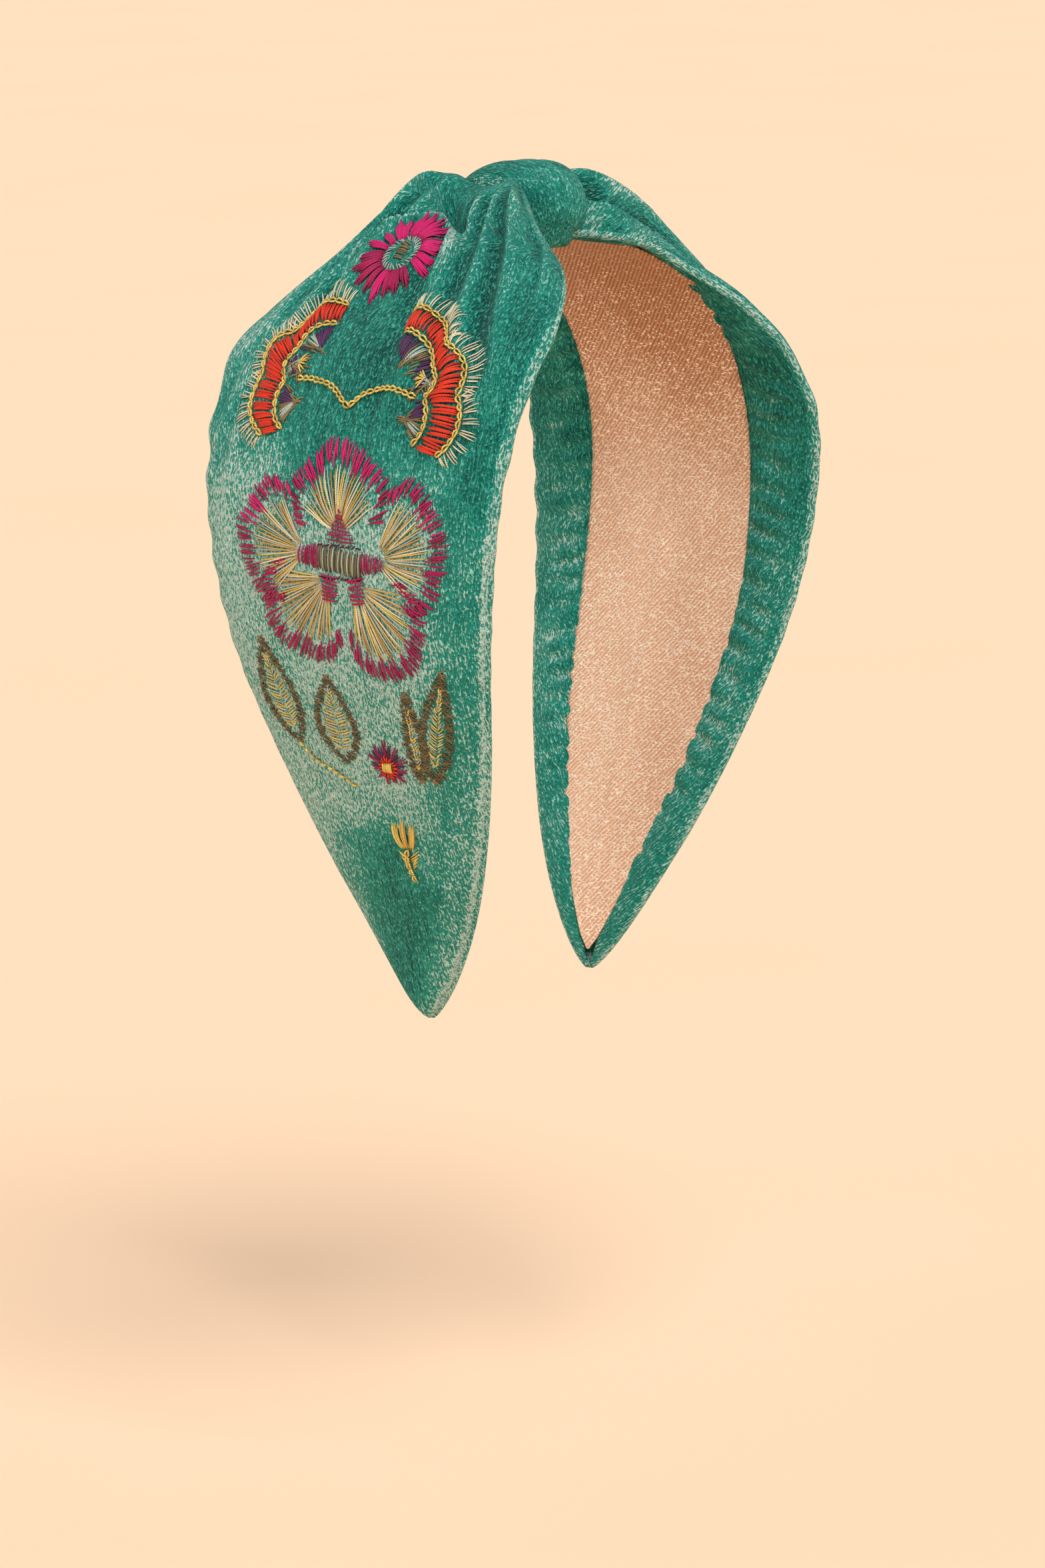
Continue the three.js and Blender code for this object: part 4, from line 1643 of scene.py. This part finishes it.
@dataclass
class Starflower:
    """The small flower: a gold eye, a scarlet ring and dark spikes."""

    centre: Point = (118.7, -6.6)
    spikes: int = 22
    spike_root: Point = (1.5, 1.5)
    ring: int = 18
    ring_outer: Point = (2.6, 2.4)
    ring_inner: Point = (1.0, 0.9)
    eye_half: float = 1.3

    def sew(self, panel: Panel) -> bpy.types.Object:
        """Stitches the flower."""
        needle = Needle(panel, 41)
        for k in range(self.spikes):
            angle = 2 * math.pi * k / self.spikes
            reach = 3.6 + 1.0 * (k % 2) - 0.9 * math.cos(angle) + needle.hand.normal(0, 0.25)
            a = ellipse(self.centre, angle, (reach, reach))
            b = ellipse(self.centre, angle, self.spike_root)
            needle.pair(a, b, (Floss.PURPLE, Floss.CRIMSON)[k % 2], 0.4)
        for k in range(self.ring):
            angle = 2 * math.pi * (k + 0.5) / self.ring
            a = ellipse(self.centre, angle, self.ring_outer)
            b = ellipse(self.centre, angle, self.ring_inner)
            needle.stitch(a, b, Floss.SCARLET, 0.4, rise=0.3)
        s, v = self.centre
        for k in np.linspace(-0.9, 0.9, 6):
            a, b = (s - self.eye_half, v + k), (s + self.eye_half, v + k)
            needle.stitch(a, b, Floss.GOLD, 0.4, rise=0.45, jitter=0.05)
        return needle.sew("starflower")


@dataclass
class Bud:
    """A closed gold bud on a short stem with two small leaves."""

    tip: Point = (130.0, -6.6)
    foot: Point = (143.0, -7.0)
    length: float = 6.4
    leaf_rungs: int = 6

    def sew(self, panel: Panel) -> bpy.types.Object:
        """Stitches the bud."""
        needle = Needle(panel, 43)
        s, v = self.tip
        for hand in (-1, 0, 1):
            for k in np.linspace(-0.5, 0.5, 5):
                a = (s + 0.6 * abs(hand) + abs(k), v + hand * 1.9 + k * 1.3)
                b = (s + self.length, v + hand * 0.7 + k * 0.7)
                needle.stitch(a, b, Floss.GOLD, 0.36, bow=hand * 0.5, rise=0.25)
        needle.chain(through(((s + 6.2, v), (s + 9, v + 0.5), self.foot), 20), 1.2)
        for hand in (-1, 1):
            for k in range(self.leaf_rungs):
                root = (s + 8.2 + 0.5 * k, v + 0.2 * hand)
                point = (s + 6.6 + 0.55 * k, v + hand * (2.6 - 0.25 * k))
                needle.stitch(root, point, Floss.GOLD, 0.32)
        return needle.sew("bud")


# ---- the headband and its setting ----


@dataclass
class Headband:
    """The whole object: builds each part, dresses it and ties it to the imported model."""

    frame: dict[str, object]
    bend_start: Point = (5.0, 4.0)
    bend_end: Point = (20.0, -1.0)
    hem_cloth: float = 16.0
    cover_share: float = 0.66
    ribbon_share: float = 0.8

    def dress(self, piece: bpy.types.Object, material: bpy.types.Material, slot: str) -> None:
        """Gives a piece its material."""
        piece.data.materials.clear()
        piece.data.materials.append(material)

    def tie(self, piece: bpy.types.Object, nodes: Sequence[str]) -> None:
        """Stands a piece in for its CAD nodes: bakes its transform and hides them."""
        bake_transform(piece)
        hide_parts(*nodes)
        log.info("%s: %d faces", piece.name, len(piece.data.polygons))

    def build(self) -> None:
        """Makes every piece in order."""
        velvet, lurex, foam = VelvetFinish().make(), LurexFinish().make(), FoamFinish().make()
        panels = {Side.LEFT: left_panel(), Side.RIGHT: right_panel()}
        for side, panel in panels.items():
            cover = panel.build()
            self.dress(cover, velvet, "velvet")
            self.tie(cover, [f"velvet_{side.word}_panel"])
            pad = FoamPad(side, panel).build()
            self.dress(pad, foam, "foam")
            self.tie(pad, [f"foam_{side.word}_arm"])
            flat, area = self.flat_cloth(LEAF.panel_half + self.hem_cloth, self.cover_share)
            ribbon = Lining(side, panel).build()
            self.dress(ribbon, lurex, "lining")
            self.tie(ribbon, [f"lining_{side.word}_arm", "lining_crown"])
            flat, area = self.flat_cloth(LEAF.lining_half, self.ribbon_share)
        loop = CrownLoop().build()
        self.dress(loop, velvet, "velvet")
        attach(loop, "crown")
        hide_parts("velvet_loop")
        log.info("%s: %d faces", loop.name, len(loop.data.polygons))
        strip = StripFinish().make()
        for name in ("core_crown", "core_left_arm", "core_right_arm"):
            materials = self.frame["nodes"][name].data.materials
            materials.clear()
            materials.append(strip)
        self.embroider(panels[Side.LEFT])

    @staticmethod
    def flat_cloth(half_width: float, share: float) -> tuple[Point, float]:
        """The size of an arm's cloth laid flat, and the area left once it is cut to the leaf's shape."""
        flat = (2 * half_width * MM, ARCH.arm_run * MM)
        return flat, share * flat[0] * flat[1]

    def embroider(self, panel: Panel) -> None:
        """Sews every motif on the left panel."""
        front = Wing(
            "wing_front",
            ((38, -6.5), (43.8, -18), (51.8, -23.6), (62, -22.6)),
            ((42, -7), (48, -16.6), (52.6, -16.8), (60.6, -17)),
            hand=-1,
            seed=13,
        )
        back = Wing(
            "wing_back",
            ((37.8, 8.6), (43.2, 18.4), (51, 22.2), (61.2, 19)),
            ((41.5, 9), (47, 15.2), (52, 15.8), (60, 14.2)),
            hand=1,
            seed=17,
        )
        crimson = (Daisy(), Blossom(), Starflower())
        scarlet = (
            front,
            back,
            EmbroideredLeaf("leaf_back", (96.5, 20), (116.5, 15.2), (4.6, 4.4), 31, 1.5),
            EmbroideredLeaf("leaf_back_lower", (101.5, 4), (119, 3.8), (4.6, 4.8), 32, 1.0),
            EmbroideredLeaf("leaf_front_lower", (103, -14.2), (121, -13.6), (2.2, 1.6), 33),
            EmbroideredLeaf("leaf_front", (98.5, -23.2), (121, -16.6), (2.6, 3.4), 34),
        )
        gold = (
            GoldLine("scallop_back", ((51.6, 13.2), (51.6, 9), (52.6, 4), (55.6, -0.6)), 35),
            GoldLine("scallop_front", ((55.6, -0.8), (52.6, -5), (52.0, -9.6), (52.8, -14.6)), 36),
            GoldLine("stem", ((116.6, 15), (119.6, 12), (121.6, 7), (124.2, 2.2)), 37, dashed=True),
            Bud(),
        )
        threads = {"crimson_thread": crimson, "scarlet_thread": scarlet, "gold_thread": gold}
        for slot, motifs in threads.items():
            material = ThreadFinish(slot).make()
            for motif in motifs:
                piece = motif.sew(panel)
                self.dress(piece, material, slot)
                self.tie(piece, [piece.name.removesuffix("_stitches")])


@dataclass(frozen=True)
class Lamp:
    """A distant soft light: where it stands, seen from the band, its strength and its spread."""

    name: str
    towards: tuple[float, float, float]
    power: float
    softness: float
    colour: Colour = (1.0, 0.98, 0.95)

    def hang(self) -> None:
        """Adds the light to the scene."""
        data = bpy.data.lights.new(self.name, "SUN")
        data.energy = self.power
        data.angle = math.radians(self.softness)
        data.color = self.colour
        lamp = bpy.data.objects.new(self.name, data)
        bpy.context.scene.collection.objects.link(lamp)
        x, y, z = self.towards
        yaw = Matrix.Rotation(math.atan2(y, x) + math.pi / 2, 4, "Z")
        lamp.matrix_world = yaw @ Matrix.Rotation(math.atan2(math.hypot(x, y), z), 4, "X")


@dataclass
class Studio:
    """A plain pale floor, soft light and a long lens."""

    azimuth: float = math.radians(-52)
    distance: float = 1.02875
    height: float = 0.1089
    pitch: float = math.radians(11.6175)
    roll: float = -0.0085
    focal: float = 125.97
    sensor: float = 36.0
    nearest: float = 0.05
    drop: float = 0.10
    floor_size: float = 12.0
    air_colour: Colour = (1.0, 0.96, 0.90)
    air_light: float = 0.52
    lamps: tuple[Lamp, ...] = (
        Lamp("key", (-0.55, -0.95, 1.25), 1.95, 25),
        Lamp("side", (-1.0, 0.45, 0.5), 0.7, 50),
        Lamp("fill", (0.8, -1.0, 0.4), 0.4, 60),
    )

    def camera(self) -> None:
        """Places the camera."""
        data = bpy.data.cameras.new("studio_camera")
        data.lens = self.focal
        data.sensor_width = self.sensor
        data.sensor_fit = "AUTO"
        data.clip_start = self.nearest
        camera = bpy.data.objects.new("studio_camera", data)
        bpy.context.scene.collection.objects.link(camera)
        turn = Matrix.Rotation(self.azimuth, 4, "Z")
        tilt = Matrix.Rotation(math.pi / 2 - self.pitch, 4, "X")
        beside, before = math.sin(self.azimuth) * self.distance, math.cos(self.azimuth) * self.distance
        place = Matrix.Translation((beside, -before, self.height))
        camera.matrix_world = place @ turn @ tilt @ Matrix.Rotation(self.roll, 4, "Z")
        bpy.context.scene.camera = camera

    def floor(self, lowest: float) -> None:
        """Adds the floor below the band's tips."""
        bpy.ops.object.select_all(action="DESELECT")
        bpy.ops.mesh.primitive_plane_add(size=self.floor_size, location=(0, 0, lowest - self.drop))
        floor = bpy.context.active_object
        floor.name = "floor"
        floor.data.materials.append(FloorFinish().make())
        floor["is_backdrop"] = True

    def light(self) -> None:
        """Sets the lights, the pale surroundings and the plain view."""
        for lamp in self.lamps:
            lamp.hang()
        world = bpy.data.worlds.new("studio")
        world.use_nodes = True
        background = world.node_tree.nodes["Background"]
        background.inputs["Color"].default_value = (*self.air_colour, 1)
        background.inputs["Strength"].default_value = self.air_light
        bpy.context.scene.world = world
        bpy.context.scene.view_settings.view_transform = "Standard"


def main() -> None:
    """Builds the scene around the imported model."""
    logging.basicConfig(level=logging.INFO, format="%(name)s %(message)s")
    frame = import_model()
    packed = [list(corner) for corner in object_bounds()]
    studio = Studio()
    studio.camera()
    Headband(frame).build()
    studio.floor(packed[0][2])
    studio.light()


if __name__ == "__main__":
    main()
